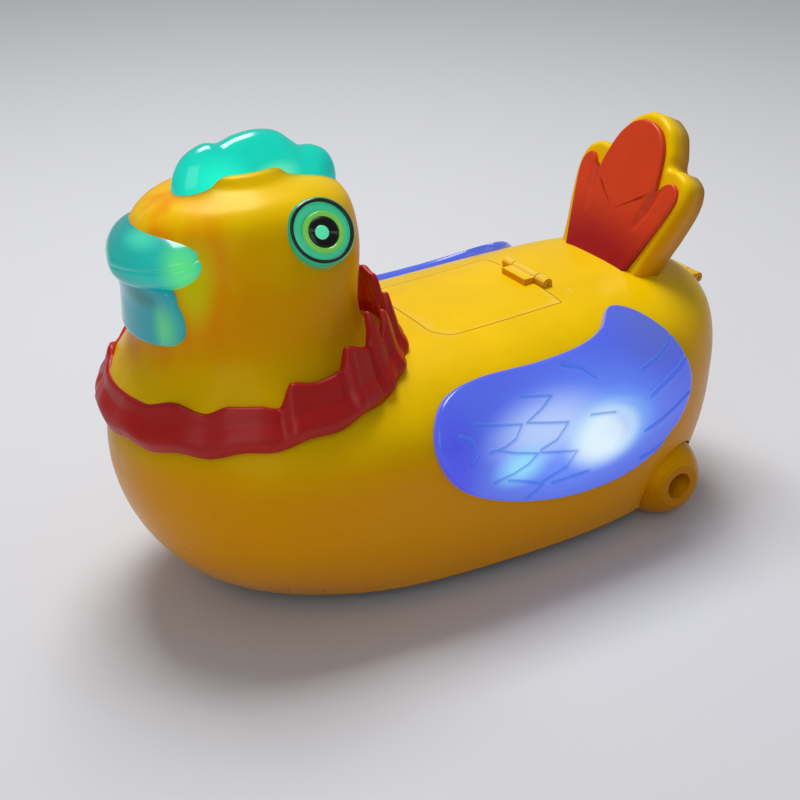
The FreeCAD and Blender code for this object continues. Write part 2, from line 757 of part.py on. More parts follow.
def make_board():
    """The control board over the turret, with its chips, its screws and the wipers below."""
    board = padded("board_blank", rectangle(31.0, 30.0), 1.6, (bound.turret_x, 0, BOARD_HEIGHT))
    pilots = [rod("board_hole_%d" % index, bound.screw_radius + 0.3, 5,
                  (bound.turret_x + x, y, BOARD_HEIGHT - 2))
              for index, (x, y) in enumerate(board_post_places)]
    node("control_board", cut("control_board", board, *pilots))
    top = BOARD_HEIGHT + 1.6
    parts = [block("main_chip", (bound.turret_x - 6, -6, top), (bound.turret_x + 6, 6, top + 1.4)),
             block("driver_chip", (bound.turret_x + 10, -4, top), (bound.turret_x + 16, 4, top + 1.2)),
             block("lead_socket", (bound.turret_x - 22, -9, top), (bound.turret_x - 16, 9, top + 6)),
             rod("capacitor", 3.2, 8.0, (bound.turret_x + 14, 14, top)),
             rod("capacitor_small", 2.5, 6.0, (bound.turret_x + 14, -14, top))]
    node("board_parts", join("board_parts", *parts))
    screws = []
    for index, (x, y) in enumerate(board_post_places):
        at = (bound.turret_x + x, y, top + 0.05)
        profile = [(0, -7.0), (bound.screw_radius, -6.0), (bound.screw_radius, 0),
                   (bound.screw_head_radius, 0), (bound.screw_head_radius, 1.0), (0, 1.6)]
        screws.append(turned("board_screw_%d" % index, profile, at))
    node("board_screws", join("board_screws", *screws))
    wipers = []
    for index, reach in enumerate((6.0, 11.0)):
        stem = rod("wiper_stem_%d" % index, 0.9, BOARD_HEIGHT - (ring_z + 0.6),
                   (bound.turret_x, reach, ring_z + 0.6))
        wipers.append(stem)
    node("wiper_contacts", join("wiper_contacts", *wipers))


make_board()

# ---------------------------------------------------------------- wings
# The wing's outline seen from the side, from its pointed rear tip round the front, as
# offsets from the hull's middle in shares of the half length and of the back height.
WING_OUTLINE = (
    (-0.488, 0.985), (-0.400, 0.945), (-0.300, 0.918), (-0.150, 0.906), (0.050, 0.906),
    (0.175, 0.884), (0.240, 0.812), (0.250, 0.700), (0.200, 0.567), (0.100, 0.467),
    (-0.050, 0.389), (-0.225, 0.345), (-0.415, 0.350), (-0.555, 0.411), (-0.655, 0.522),
    (-0.693, 0.656), (-0.668, 0.778), (-0.605, 0.900),
)


def wing_prism(name, shrink, depth_from):
    """A prism along Y with the wing's outline, drawn in by an amount."""
    points = [Vector(x * plain.half_length, 0, z * plain.back_height) for x, z in WING_OUTLINE]
    middle = Vector(-0.22 * plain.half_length, 0, 0.63 * plain.back_height)
    half_long = 0.47 * plain.half_length
    half_tall = 0.29 * plain.back_height
    moved = []
    for point in points:
        away = point - middle
        x = away.x * (half_long - shrink) / half_long
        z = away.z * (half_tall - shrink) / half_tall
        moved.append(Vector(middle.x + x, depth_from, middle.z + z))
    curve = Part.BSplineCurve()
    curve.interpolate(Points=moved + moved[:1], PeriodicFlag=False)
    face = Part.Face(Part.Wire([curve.toShape()]))
    return computed(name, face.extrude(Vector(0, 90 - depth_from, 0)))


wing_zone = wing_prism("wing_zone", 0.0, 30.0)
wing_window = wing_prism("wing_window", 5.0, 30.0)
WING_LAMP_X = -0.25
WING_LAMP_Z = 0.58
WING_LAMP_DEPTH = 19.0
WING_BULB_RADIUS = 2.5
WING_LAMP_RISE = 5.9
LAMP_BOARD = (8.0, 1.4, 6.0)
REFLECTOR_HALF_LONG = 36.0
REFLECTOR_HALF_TALL = 15.0
REFLECTOR_WALL = 1.5


def make_wing():
    """The clear wing on the shell, the white reflector tray behind its window and its lamp."""
    bulge = cut("wing_bulge", computed("hull_wing", hull_loft(plain.wing_proud)), hull_outer)
    node("wing_left", overlap("wing_left", bulge, wing_zone))
    node("wing_right", overlap("wing_right", bulge, mirrored("wing_zone_right", wing_zone)))

    x = bound.half_length * WING_LAMP_X
    z = bound.back_height * WING_LAMP_Z
    back = bound.half_width - WING_LAMP_DEPTH
    long, tall, wall = REFLECTOR_HALF_LONG, REFLECTOR_HALF_TALL, REFLECTOR_WALL
    front = back + bound.reflector_depth
    tray = block("reflector_block", (x - long, back, z - tall), (x + long, front, z + tall))
    room = block("reflector_room", (x - long + wall, back + wall, z - tall + wall),
                 (x + long - wall, front + wall, z + tall - wall))
    lamp_hole = rod("lamp_hole", WING_BULB_RADIUS + 0.5, 2 * wall, (x, back - wall / 2, z), "y")
    left_tray = node("reflector_left", cut("reflector_left", tray, room, lamp_hole))
    node("reflector_right", mirrored("reflector_right", left_tray))

    across, thick, up = LAMP_BOARD
    board = block("wing_board", (x - across, back - thick, z - up), (x + across, back, z + up))
    stem = rod("wing_lamp_stem", WING_BULB_RADIUS, WING_LAMP_RISE + 0.1, (x, back - 0.1, z), "y")
    bulb = ball("wing_lamp_bulb", WING_BULB_RADIUS, (x, back + WING_LAMP_RISE, z))
    lamp = node("wing_lamp_left", join("wing_lamp_left", board, stem, bulb))
    node("wing_lamp_right", mirrored("wing_lamp_right", lamp))


make_wing()

# ---------------------------------------------------------------- head
# Levels of the head from the crown down to the skirt: height above the floor as a share of
# the head's top, half length as a share of the head's reach, and half width over half length.
HEAD_LEVELS = (
    (1.000, 0.160, 0.78), (0.990, 0.380, 0.78), (0.967, 0.620, 0.78), (0.927, 0.830, 0.77),
    (0.874, 0.900, 0.80), (0.821, 0.915, 0.86), (0.768, 0.895, 0.92), (0.715, 0.875, 0.96),
    (0.662, 0.885, 0.99), (0.628, 0.930, 1.00), (0.596, 1.000, 1.00), (0.566, 1.070, 1.00),
    (0.536, 1.115, 1.00), (0.500, 1.130, 1.00),
)


def head_loft(grow):
    """The head and neck, moved out or in by an amount."""
    wires = []
    for level, (share_up, reach, slim) in enumerate(HEAD_LEVELS):
        half = reach * plain.head_reach + grow
        height = share_up * plain.head_top + (grow if level < 5 else 0)
        if half < 3:
            continue
        ring = Part.Ellipse(Vector(plain.head_x, 0, height), half, half * slim)
        wires.append(Part.Wire([ring.toShape()]))
    return Part.makeLoft(wires, True, False)


head_outer = computed("head_outer", head_loft(0))
head_inner = computed("head_inner", head_loft(-plain.wall))
BEAK_DROP = 21.5
WATTLE_DROP = 43.0
EYE_BACK = 12.9
EYE_SIDE = 28.0
EYE_DROP = 15.5
EYE_FACING = Vector(0.09, 0.83, 0.55)


def on_eye(label, profile, sign, out=0.0):
    """A turned piece set on the side of the head, facing out and up."""
    facing = Vector(EYE_FACING.x, sign * EYE_FACING.y, EYE_FACING.z)
    facing.normalize()
    at = (bound.head_x - EYE_BACK + facing.x * out, sign * EYE_SIDE + facing.y * out,
          bound.head_top - EYE_DROP + facing.z * out)
    return turned(label, profile, at, turn=Rotation(Vector(0, 0, 1), facing))


def make_eye(side, sign):
    """A raised lens, its black pupil disc, and the hole its stem goes through."""
    rim = bound.eye_radius
    proud = bound.eye_proud
    profile = [(0, -7.0), (6.0, -7.0), (6.0, -4.0), (rim, -4.0), (rim, proud - 1.2), (rim - 1.2, proud),
               (7.6, proud), (7.0, proud - 0.6), (0, proud - 0.6)]
    lens = on_eye("eye_blank_" + side, profile, sign)
    stem = on_eye("eye_stem_" + side, [(0, -7.0), (6.0, -7.0), (6.0, 0), (0, 0)], sign)
    seat = cut("eye_seat_" + side, lens, head_outer)
    node("eye_" + side, join("eye_" + side, seat, stem))
    dome = [(0, 0), (bound.pupil_radius, 0), (bound.pupil_radius, 0.7), (bound.pupil_radius - 0.9, 1.5),
            (0, 1.9)]
    node("pupil_" + side, on_eye("pupil_" + side, dome, sign, proud - 0.6))
    hole = [(0, -12.0), (6.2, -12.0), (6.2, 8.0), (0, 8.0)]
    return on_eye("eye_hole_" + side, hole, sign)


eye_holes = [make_eye("left", 1), make_eye("right", -1)]


def make_head():
    """Two half shells that meet on the middle plane, with a spigot into the body."""
    spigot_profile = [(bound.neck_radius - 2, 0), (bound.neck_radius, 0), (bound.neck_radius, 12.0),
                      (bound.neck_radius + 3.4, 12.0), (bound.neck_radius + 3.4, 14.0),
                      (bound.neck_radius - 2, 14.0)]
    spigot = turned("neck_spigot", spigot_profile, (bound.head_x, 0, bound.back_height - 12.0))
    skin = cut("head_skin", head_outer, head_inner, hull_outer)
    whole = join("head_whole", skin, spigot)
    beak_hole = rod("beak_hole", 7.4, 30, (bound.head_x + 20, 0, bound.head_top - BEAK_DROP), "x")
    wattle_hole = rod("wattle_hole", 3.2, 30, (bound.head_x + 20, 0, bound.head_top - WATTLE_DROP), "x")
    comb_slot = block("comb_slot", (bound.head_x - 18, -2.2, bound.head_top - 20),
                      (bound.head_x + 6, 2.2, bound.head_top + 10))
    whole = cut("head_open", whole, beak_hole, wattle_hole, comb_slot, *eye_holes)
    for side, low, high in (("left", 0, 80), ("right", -80, 0)):
        half = block("head_half_" + side, (-50, low, 0), (200, high, 250))
        node("head_shell_" + side, overlap("head_shell_" + side, whole, half))


make_head()


def ellipsoid(name, centre, half_x, half_y, half_z):
    """A ball stretched along the three axes."""
    obj = doc.addObject("Part::Ellipsoid", name)
    obj.Angle1 = -90
    obj.Angle2 = 90
    obj.Angle3 = 360
    bind(obj, "Radius1", half_z)
    bind(obj, "Radius2", half_x)
    bind(obj, "Radius3", half_y)
    return put(obj, centre)


def make_beak():
    """The beak, pegged into the head, and the wattle under it."""
    centre = (bound.head_x + 29.0, 0, bound.head_top - BEAK_DROP)
    bill = ellipsoid("bill", centre, bound.beak_reach, bound.beak_half_width, bound.beak_half_height)
    bill = cut("bill_seated", bill, head_outer)
    bill.Refine = False
    peg = rod("beak_peg", 7.2, 14.0, (bound.head_x + 29, 0, bound.head_top - BEAK_DROP), "x")
    node("beak", join("beak", bill, peg))
    bib = ellipsoid("bib", (bound.head_x + 29.0, 0, bound.head_top - WATTLE_DROP), bound.wattle_reach,
                    bound.wattle_half_width, bound.wattle_half_height)
    bib = cut("bib_seated", bib, head_outer)
    bib.Refine = False
    stem = rod("wattle_peg", 3.0, 14.0, (bound.head_x + 26, 0, bound.head_top - WATTLE_DROP), "x")
    node("wattle", join("wattle", bib, stem))


make_beak()

COMB_LOBES = ((9.0, -2.0, 11.5, 12.0), (-7.0, -2.0, 18.0, 13.8), (-29.5, -7.0, 9.5, 9.0),
              (-7.0, -8.0, 30.0, 9.0))


def make_comb():
    """Three rounded lobes on a ridge, with a tongue through the slot in the crown."""
    lobes = []
    for index, (along, up, half_x, half_z) in enumerate(COMB_LOBES):
        at = (bound.head_x + along, 0, bound.head_top + up)
        lobes.append(ellipsoid("lobe_%d" % index, at, half_x, bound.comb_half_thickness, half_z))
    tongue = block("comb_tongue", (bound.head_x - 17.8, -2.0, bound.head_top - 8),
                   (bound.head_x + 5.8, 2.0, bound.head_top - 1))
    seated = cut("comb_seated", join("comb_lobes", *lobes), head_outer)
    node("comb", join("comb", seated, tongue))


make_comb()

# ---------------------------------------------------------------- collar
COLLAR_DROP = 0.12
COLLAR_POINTS = 15
COLLAR_LEAN = 7.0
COLLAR_TALL = 30.0


def tilted(shape):
    """Lean a ring about the head's axis so that its front is lower."""
    centre = Vector(plain.head_x, 0, 0.876 * plain.back_height)
    shape.rotate(centre, Vector(0, 1, 0), math.degrees(math.atan(COLLAR_DROP)))
    return shape


def cone_shell(inside, outside, lean, low, tall):
    """A hollow cone about the head's axis that leans in towards its top."""
    base = Vector(plain.head_x, 0, low)
    up = Vector(0, 0, 1)
    hull_cone = Part.makeCone(outside, outside - lean, tall, base, up)
    return hull_cone.cut(Part.makeCone(inside, inside - lean, tall, base, up))


def make_collar():
    """The ruff: a leaning ring with a ring of points, low at the front and tall behind."""
    rim = plain.collar_radius
    low = 0.876 * plain.back_height
    ring = cone_shell(rim - plain.collar_wall, rim, COLLAR_LEAN, low, COLLAR_TALL)
    for index in range(COLLAR_POINTS):
        angle = 2 * math.pi * (index + 0.3) / COLLAR_POINTS
        behind = 0.5 - 0.5 * math.cos(angle)
        notch = math.pi * (rim - 3) / COLLAR_POINTS
        floor = low + 7.0 + 7.0 * behind + notch
        out = Vector(math.cos(angle), math.sin(angle), 0)
        start = Vector(plain.head_x, 0, floor) + out * 20
        cutter = Part.makeCylinder(notch * 1.04, 60, start, out)
        top = Part.makeBox(2 * notch * 1.04, 60, 60, Vector(-notch * 1.04, 0, 0))
        top.rotate(Vector(), Vector(0, 0, 1), math.degrees(angle) - 90)
        top.translate(start)
        ring = ring.cut(cutter).cut(top)
    seat = cut("collar_seated", computed("collar_ring", tilted(ring)), hull_outer, head_outer)
    node("collar", seat)


make_collar()

# ---------------------------------------------------------------- tail
# Outlines of the tail's yellow fan and of its red front, half of each, as (half width,
# height above the root) along the leaning face.
FAN_OUTLINE = ((22.0, -8.0), (24.5, 4.0), (28.5, 18.0), (30.5, 30.0), (26.0, 38.5), (17.0, 39.5),
               (14.5, 46.0), (9.0, 54.0), (0.0, 57.0))
FEATHER_OUTLINE = ((17.0, -8.0), (20.0, 5.0), (25.5, 20.0), (28.0, 29.0), (24.0, 34.0),
                   (18.0, 30.0), (15.5, 36.0), (12.0, 47.0), (0.0, 53.0))


def fan_solid(outline, front, back):
    """A flat fan between two depths behind the tail's face, leaning back."""
    half = [Vector(0, width, up) for width, up in outline]
    other = [Vector(0, -point.y, point.z) for point in reversed(half[:-1])]
    curve = Part.BSplineCurve()
    curve.interpolate(Points=half + other, PeriodicFlag=False)
    foot = Part.LineSegment(other[-1], half[0])
    face = Part.Face(Part.Wire([curve.toShape(), foot.toShape()]))
    solid = face.extrude(Vector(front - back, 0, 0))
    solid.translate(Vector(back, 0, 0))
    solid.rotate(Vector(), Vector(0, 1, 0), -plain.tail_lean)
    solid.translate(Vector(plain.tail_x, 0, 1.01 * plain.back_height))
    return solid


def make_tail():
    """The fan stands in the hull's roof on a peg, with its red feathers in front."""
    fan = computed("fan_blank", fan_solid(FAN_OUTLINE, -4.0, -4.0 - plain.tail_thickness))
    peg = block("tail_peg", (bound.tail_x - 15, -9, bound.back_height - 9),
                (bound.tail_x - 8, 9, bound.back_height + 8))
    seated = cut("fan_seated", fan, hull_outer)
    node("tail_fan", join("tail_fan", seated, peg))
    feathers = computed("feathers_blank", fan_solid(FEATHER_OUTLINE, 0.0, -3.95))
    node("tail_feathers", cut("tail_feathers", feathers, hull_outer))


make_tail()

# ---------------------------------------------------------------- hatch on the back
HATCH_CORNER = 9.0
hatch_hinge_x = bound.hatch_rear - 2.2
hatch_hinge_z = bound.back_height + 0.9


def knuckle(name, half_low, half_high, x, z, bore):
    """A piece of hinge barrel along Y, with its bore."""
    barrel = rod(name + "_barrel", bound.knuckle_radius, half_high - half_low, (x, half_low, z), "y")
    return barrel, rod(name + "_bore", bore, half_high - half_low + 2, (x, half_low - 1, z), "y")


def hatch_slab(name, margin):
    """The hatch's outline as an upright prism, with rounded front corners."""
    slab = doc.addObject("Part::Fillet", name)
    slab.Base = block(name + "_block",
                      (bound.hatch_rear - margin, -(bound.hatch_half_width + margin), 60),
                      (bound.hatch_front + margin, bound.hatch_half_width + margin, 120))
    radius = HATCH_CORNER + margin
    slab.Edges = [(5, radius, radius), (7, radius, radius)]
    return slab


def make_hatch():
    """The lid over the egg bay, which swings up and back on its pin."""
    panel = overlap("hatch_panel", hull_skin, hatch_slab("hatch_zone", 0.0))
    arm = block("hatch_arm", (hatch_hinge_x, -7.0, hatch_hinge_z - 1.6),
                (bound.hatch_rear + 4.0, 7.0, hatch_hinge_z + 0.9))
    barrel, bore = knuckle("hatch_knuckle", -7.0, 7.0, hatch_hinge_x, hatch_hinge_z,
                           bound.hinge_pin_radius + bound.pin_clearance)
    lid = cut("hatch_with_bore", join("hatch_joined", panel, arm, barrel), bore)
    node("back_hatch", lid)
    node("hatch_pin", rod("hatch_pin", bound.hinge_pin_radius, 25.0,
                          (hatch_hinge_x, -12.5, hatch_hinge_z), "y"))


def hatch_mounts():
    """The shell's own knuckles, one each side of the lid's."""
    pieces = []
    for low, high in ((7.4, 13.0), (-13.0, -7.4)):
        barrel, bore = knuckle("hatch_shell_%d" % low, low, high, hatch_hinge_x, hatch_hinge_z,
                               bound.hinge_pin_radius + 0.01)
        foot = block("hatch_foot_%d" % low, (hatch_hinge_x - 2.0, low, bound.back_height - 3.0),
                     (hatch_hinge_x + 1.2, high, hatch_hinge_z))
        pieces.append((join("hatch_lug_%d" % low, barrel, foot), bore))
    return pieces


make_hatch()

# ---------------------------------------------------------------- flap at the rear
flap_hinge_x = -bound.half_length + 0.6
flap_hinge_z = bound.flap_height + bound.flap_radius + 2.2


def make_flap():
    """The round flap that an egg pushes open, hung from a pin at its top."""
    zone = rod("flap_zone", bound.flap_radius, 60, (-bound.half_length - 10, 0, bound.flap_height), "x")
    panel = overlap("flap_panel", hull_skin, zone)
    arm = block("flap_arm", (flap_hinge_x - 1.0, -6.0, flap_hinge_z - 6.5),
                (flap_hinge_x + 2.4, 6.0, flap_hinge_z))
    barrel, bore = knuckle("flap_knuckle", -6.0, 6.0, flap_hinge_x, flap_hinge_z,
                           bound.hinge_pin_radius + bound.pin_clearance)
    node("egg_flap", cut("egg_flap_cut", join("flap_joined", panel, arm, barrel), bore))
    node("flap_pin", rod("flap_pin", bound.hinge_pin_radius, 23.0,
                         (flap_hinge_x, -11.5, flap_hinge_z), "y"))


def flap_mounts():
    """The shell's knuckles above the flap."""
    pieces = []
    for low, high in ((6.4, 12.0), (-12.0, -6.4)):
        barrel, bore = knuckle("flap_shell_%d" % low, low, high, flap_hinge_x, flap_hinge_z,
                               bound.hinge_pin_radius + 0.01)
        foot = block("flap_foot_%d" % low, (flap_hinge_x, low, flap_hinge_z - 1.2),
                     (flap_hinge_x + 6.0, high, flap_hinge_z + 1.8))
        pieces.append((join("flap_lug_%d" % low, barrel, foot), bore))
    return pieces


make_flap()

# ---------------------------------------------------------------- egg chute and gate


def make_chute():
    """An open trough from under the hatch down to the flap, on two legs."""
    front = Vector(5.0, 0, plain.chute_front_height)
    rear = Vector(-106.0, 0, plain.chute_rear_height)
    run = rear - front
    outer = Part.makeCylinder(plain.chute_radius + plain.chute_wall, run.Length, front, run)
    inner = Part.makeCylinder(plain.chute_radius, run.Length + 20, front - run * 0.05, run)
    over = Part.makeBox(200, 100, 60, Vector(-150, -50, plain.chute_front_height + 4))
    nose = Part.makeBox(1.6, 2 * plain.chute_radius, 22,
                        Vector(3.4, -plain.chute_radius, plain.chute_front_height - 18))
    round_nose = nose.common(Part.makeCylinder(plain.chute_radius + 0.4, 12, front + Vector(3, 0, 0),
                                               Vector(-1, 0, 0)))
    trough = computed("trough", outer.cut(inner).cut(over).fuse(round_nose))
    legs = [block("leg_front", (-24, -2, bay_top + 1.6), (-20, 2, bound.chute_front_height - 19.8)),
            block("leg_left", (-50, 13.5, plate_top), (-47, 16.5, bound.chute_rear_height - 8)),
            block("leg_right", (-50, -16.5, plate_top), (-47, -13.5, bound.chute_rear_height - 8)),
            block("gate_lug", (-82, 16.5, 56), (-79.0, 23.5, 67))]
    room = computed("trough_room", inner)
    gate_slot = block("gate_slot", (-78, 15, 60), (-70, 24, 90))
    node("egg_chute", cut("egg_chute_cut", join("chute_joined", trough, *legs), room, gate_slot))


def make_gate():
    """The finger that holds the eggs back, on the shaft of a small geared motor."""
    x, y, z = -74.0, 24.0, 66.0
    shaft = rod("gate_shaft", 1.5, 16.0, (x, y - 14, z), "y")
    hub = rod("gate_hub", 3.0, 5.0, (x, y - 14, z), "y")
    finger = block("gate_finger", (x - 1.2, y - 14, z - 15), (x + 1.2, y - 9, z))
    node("egg_gate", join("egg_gate", shaft, hub, finger))
    can = block("gate_motor_can", (x - 7, y - 0.5, z - 8), (x + 7, y + 11, z + 8))
    hole = rod("gate_motor_hole", 1.5 + bound.pin_clearance, 8, (x, y - 2, z), "y")
    node("gate_motor", cut("gate_motor", can, hole))


make_chute()
make_gate()

# ---------------------------------------------------------------- head lamp
lamp_bar = block("lamp_bar", (bound.head_x - 34, -7, bound.back_height + 2.05),
                 (bound.head_x + 34, 7, bound.back_height + 3.6))
lamp_bulb = rod("lamp_bulb", 2.5, 8, (bound.head_x, 0, bound.back_height + 3.5))
lamp_dome = ball("lamp_dome", 2.5, (bound.head_x, 0, bound.back_height + 11.5))
node("head_lamp", join("head_lamp", lamp_bar, lamp_bulb, lamp_dome))

# ---------------------------------------------------------------- body shell


def wheel_arch(side, sign):
    """The room a rear wheel needs in the shell, open below."""
    margin = 1.3
    profile = [(0, 0)]
    profile += [(bound.wheel_radius * share + margin, bound.wheel_width * along)
                for along, share in WHEEL_PROFILE]
    profile += [(bound.wheel_radius * 0.52 + margin, bound.wheel_width + 20), (0, bound.wheel_width + 20)]
    turn = Rotation(Vector(0, 0, 1), Vector(0, sign, 0))
    at = (bound.axle_x, sign * (wheel_inner - margin), bound.wheel_radius)
    return turned("wheel_arch_" + side, profile, at, turn=turn)


def make_shell():
    """The yellow shell with its openings, screw columns, ledge and hinge lugs."""
    grown = [hull_skin]
    cutters = []
    for index, (x, y) in enumerate(base_screw_places):
        column = rod("column_%d" % index, COLUMN_RADIUS, 90, (x, y, plate_top))
        grown.append(overlap("column_cut_%d" % index, column, hull_outer))
        cutters.append(rod("column_pilot_%d" % index, bound.screw_radius + 0.02, 19, (x, y, 3)))
    below = computed("ledge_inner", hull_loft(-plain.wall - 1.6))
    ledge_band = cut("ledge_band", hatch_slab("ledge_out", 2.5), hatch_slab("ledge_in", -2.5))
    ledge = overlap("ledge", cut("ledge_skin", computed("ledge_outer", hull_loft(-plain.wall - 0.1)), below),
                    ledge_band)
    ledge_root = overlap("ledge_root", cut("ledge_root_skin", hull_outer, below),
                         cut("ledge_root_band", hatch_slab("root_out", 2.5), hatch_slab("root_in", 0.3)))
    grown += [ledge, ledge_root]
    lugs = hatch_mounts() + flap_mounts()
    grown += [lug for lug, bore in lugs]
    cutters += [bore for lug, bore in lugs]
    cutters.append(rod("neck_hole", bound.neck_radius + bound.neck_hole_gap, 40,
                       (bound.head_x, 0, bound.back_height - 25)))
    cutters.append(overlap("hatch_opening", hatch_slab("hatch_gap", plain.seam_gap),
                           cut("above_ledge", computed("hatch_hull", hull_loft(3.0)), hull_inner)))
    cutters.append(block("hatch_knuckle_room", (hatch_hinge_x - 2.6, -7.3, bound.back_height - 1.9),
                         (bound.hatch_rear + 1, 7.3, bound.back_height + 5)))
    cutters.append(rod("flap_opening", bound.flap_radius + bound.seam_gap, 60,
                       (-bound.half_length - 10, 0, bound.flap_height), "x"))
    cutters.append(block("flap_arm_room", (-bound.half_length - 5, -6.3, flap_hinge_z - 7.5),
                         (flap_hinge_x + 3.2, 6.3, flap_hinge_z + 3.0)))
    cutters.append(block("tail_socket", (bound.tail_x - 15.3, -9.3, bound.back_height - 12),
                         (bound.tail_x - 7.7, 9.3, bound.back_height + 8)))
    cutters.append(wing_window)
    cutters.append(mirrored("wing_window_right", wing_window))
    cutters.append(wheel_arch("left", 1))
    cutters.append(wheel_arch("right", -1))
    node("body_shell", cut("body_shell", join("shell_whole", *grown), *cutters))


make_shell()


# ---------------------------------------------------------------- check and write
def check_document():
    """Stop if any object failed to compute or any sub-part's shape is broken."""
    for obj in doc.Objects:
        for flag in obj.State:
            if flag in ("Invalid", "Error"):
                raise RuntimeError("%s is %s" % (obj.Name, flag))
    for obj in nodes:
        if obj.Shape.isNull() or not obj.Shape.isValid() or not obj.Shape.Solids:
            raise RuntimeError("%s has no valid shape" % obj.Label)


doc.recompute()
check_document()
os.makedirs("parts", exist_ok=True)
for obj in nodes:
    obj.Shape.exportStep("parts/%s.step" % obj.Label)
print("sub-parts written:", len(nodes))
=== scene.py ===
# %% [markdown]
# # A rolling light-up hen
# The hen is a glossy yellow toy with lit wings, comb, beak and wattle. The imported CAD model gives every
# size and place; this file gives the moulded detail, the materials, the light and the camera.
import json
import math

import bmesh
import bpy
import numpy as np
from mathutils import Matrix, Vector
from mathutils.bvhtree import BVHTree


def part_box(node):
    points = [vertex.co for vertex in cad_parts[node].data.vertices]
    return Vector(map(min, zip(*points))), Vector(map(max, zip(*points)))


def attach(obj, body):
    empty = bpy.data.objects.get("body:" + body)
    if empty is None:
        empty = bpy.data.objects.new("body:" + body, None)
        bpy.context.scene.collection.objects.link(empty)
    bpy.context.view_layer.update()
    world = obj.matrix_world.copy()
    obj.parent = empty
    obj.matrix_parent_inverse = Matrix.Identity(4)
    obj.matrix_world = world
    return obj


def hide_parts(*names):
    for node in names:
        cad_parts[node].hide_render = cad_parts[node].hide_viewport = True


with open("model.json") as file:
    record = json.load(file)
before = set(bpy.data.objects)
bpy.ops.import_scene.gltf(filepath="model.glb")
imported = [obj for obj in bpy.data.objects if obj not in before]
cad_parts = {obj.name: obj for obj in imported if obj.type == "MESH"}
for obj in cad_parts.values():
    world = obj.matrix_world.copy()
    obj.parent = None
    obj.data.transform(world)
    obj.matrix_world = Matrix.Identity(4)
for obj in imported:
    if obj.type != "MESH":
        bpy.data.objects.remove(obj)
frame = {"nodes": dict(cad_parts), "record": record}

MM = 0.001
scene = bpy.context.scene
record = frame["record"]
nodes = frame["nodes"]
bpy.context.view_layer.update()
SLOT_OF = {row["node"]: row["material_slot"] for row in record["subparts"]}


def linear(color):
    """A display colour as the plain light values that shaders take."""
    return [c / 12.92 if c <= 0.04045 else ((c + 0.055) / 1.055) ** 2.4 for c in color[:3]] + [1.0]


# %% [markdown]
# ## Shared surface effects
# Two node groups give every material its depth: one for the fine grain of moulded plastic and the
# uneven gloss left by handling, one for edges that are rubbed paler.
# %% node groups
def new_group(name, inputs, outputs):
    """An empty node group with named sockets; returns the group, its input node and its output node."""
    group = bpy.data.node_groups.new(name, "ShaderNodeTree")
    for label, kind, value in inputs:
        socket = group.interface.new_socket(label, in_out="INPUT", socket_type=kind)
        socket.default_value = value
    for label, kind in outputs:
        group.interface.new_socket(label, in_out="OUTPUT", socket_type=kind)
    return group, group.nodes.new("NodeGroupInput"), group.nodes.new("NodeGroupOutput")


def make_grain_group():
    """Fine grain, uneven gloss and a slight drift of colour over the surface."""
    group, given, out = new_group(
        "Moulded grain",
        [("Color", "NodeSocketColor", (0.8, 0.8, 0.8, 1)), ("Gloss", "NodeSocketFloat", 0.3),
         ("Grain", "NodeSocketFloat", 0.05), ("Scale", "NodeSocketFloat", 1.0)],
        [("Color", "NodeSocketColor"), ("Roughness", "NodeSocketFloat"), ("Normal", "NodeSocketVector")])
    add, link = group.nodes.new, group.links.new
    place = add("ShaderNodeTexCoord")
    scaled = add("ShaderNodeVectorMath")
    scaled.operation = "SCALE"
    link(place.outputs["Object"], scaled.inputs[0])
    link(given.outputs["Scale"], scaled.inputs["Scale"])
    fine = add("ShaderNodeTexNoise")
    fine.inputs["Scale"].default_value = 2600
    fine.inputs["Detail"].default_value = 3
    broad = add("ShaderNodeTexNoise")
    broad.inputs["Scale"].default_value = 38
    broad.inputs["Detail"].default_value = 4
    smudge = add("ShaderNodeTexNoise")
    smudge.inputs["Scale"].default_value = 160
    smudge.inputs["Detail"].default_value = 5
    for texture in (fine, broad, smudge):
        link(scaled.outputs["Vector"], texture.inputs["Vector"])
    tint = add("ShaderNodeHueSaturation")
    shade = add("ShaderNodeMapRange")
    shade.inputs["From Min"].default_value = 0.3
    shade.inputs["From Max"].default_value = 0.7
    shade.inputs["To Min"].default_value = 0.93
    shade.inputs["To Max"].default_value = 1.05
    link(broad.outputs["Fac"], shade.inputs["Value"])
    link(shade.outputs["Result"], tint.inputs["Value"])
    link(given.outputs["Color"], tint.inputs["Color"])
    link(tint.outputs["Color"], out.inputs["Color"])
    uneven = add("ShaderNodeMapRange")
    uneven.inputs["From Min"].default_value = 0.35
    uneven.inputs["From Max"].default_value = 0.7
    uneven.inputs["To Min"].default_value = -0.03
    uneven.inputs["To Max"].default_value = 0.06
    link(smudge.outputs["Fac"], uneven.inputs["Value"])
    rough = add("ShaderNodeMath")
    rough.operation = "ADD"
    rough.use_clamp = True
    link(given.outputs["Gloss"], rough.inputs[0])
    link(uneven.outputs["Result"], rough.inputs[1])
    link(rough.outputs["Value"], out.inputs["Roughness"])
    bump = add("ShaderNodeBump")
    bump.inputs["Distance"].default_value = 0.0001
    link(given.outputs["Grain"], bump.inputs["Strength"])
    link(fine.outputs["Fac"], bump.inputs["Height"])
    link(bump.outputs["Normal"], out.inputs["Normal"])
    return group


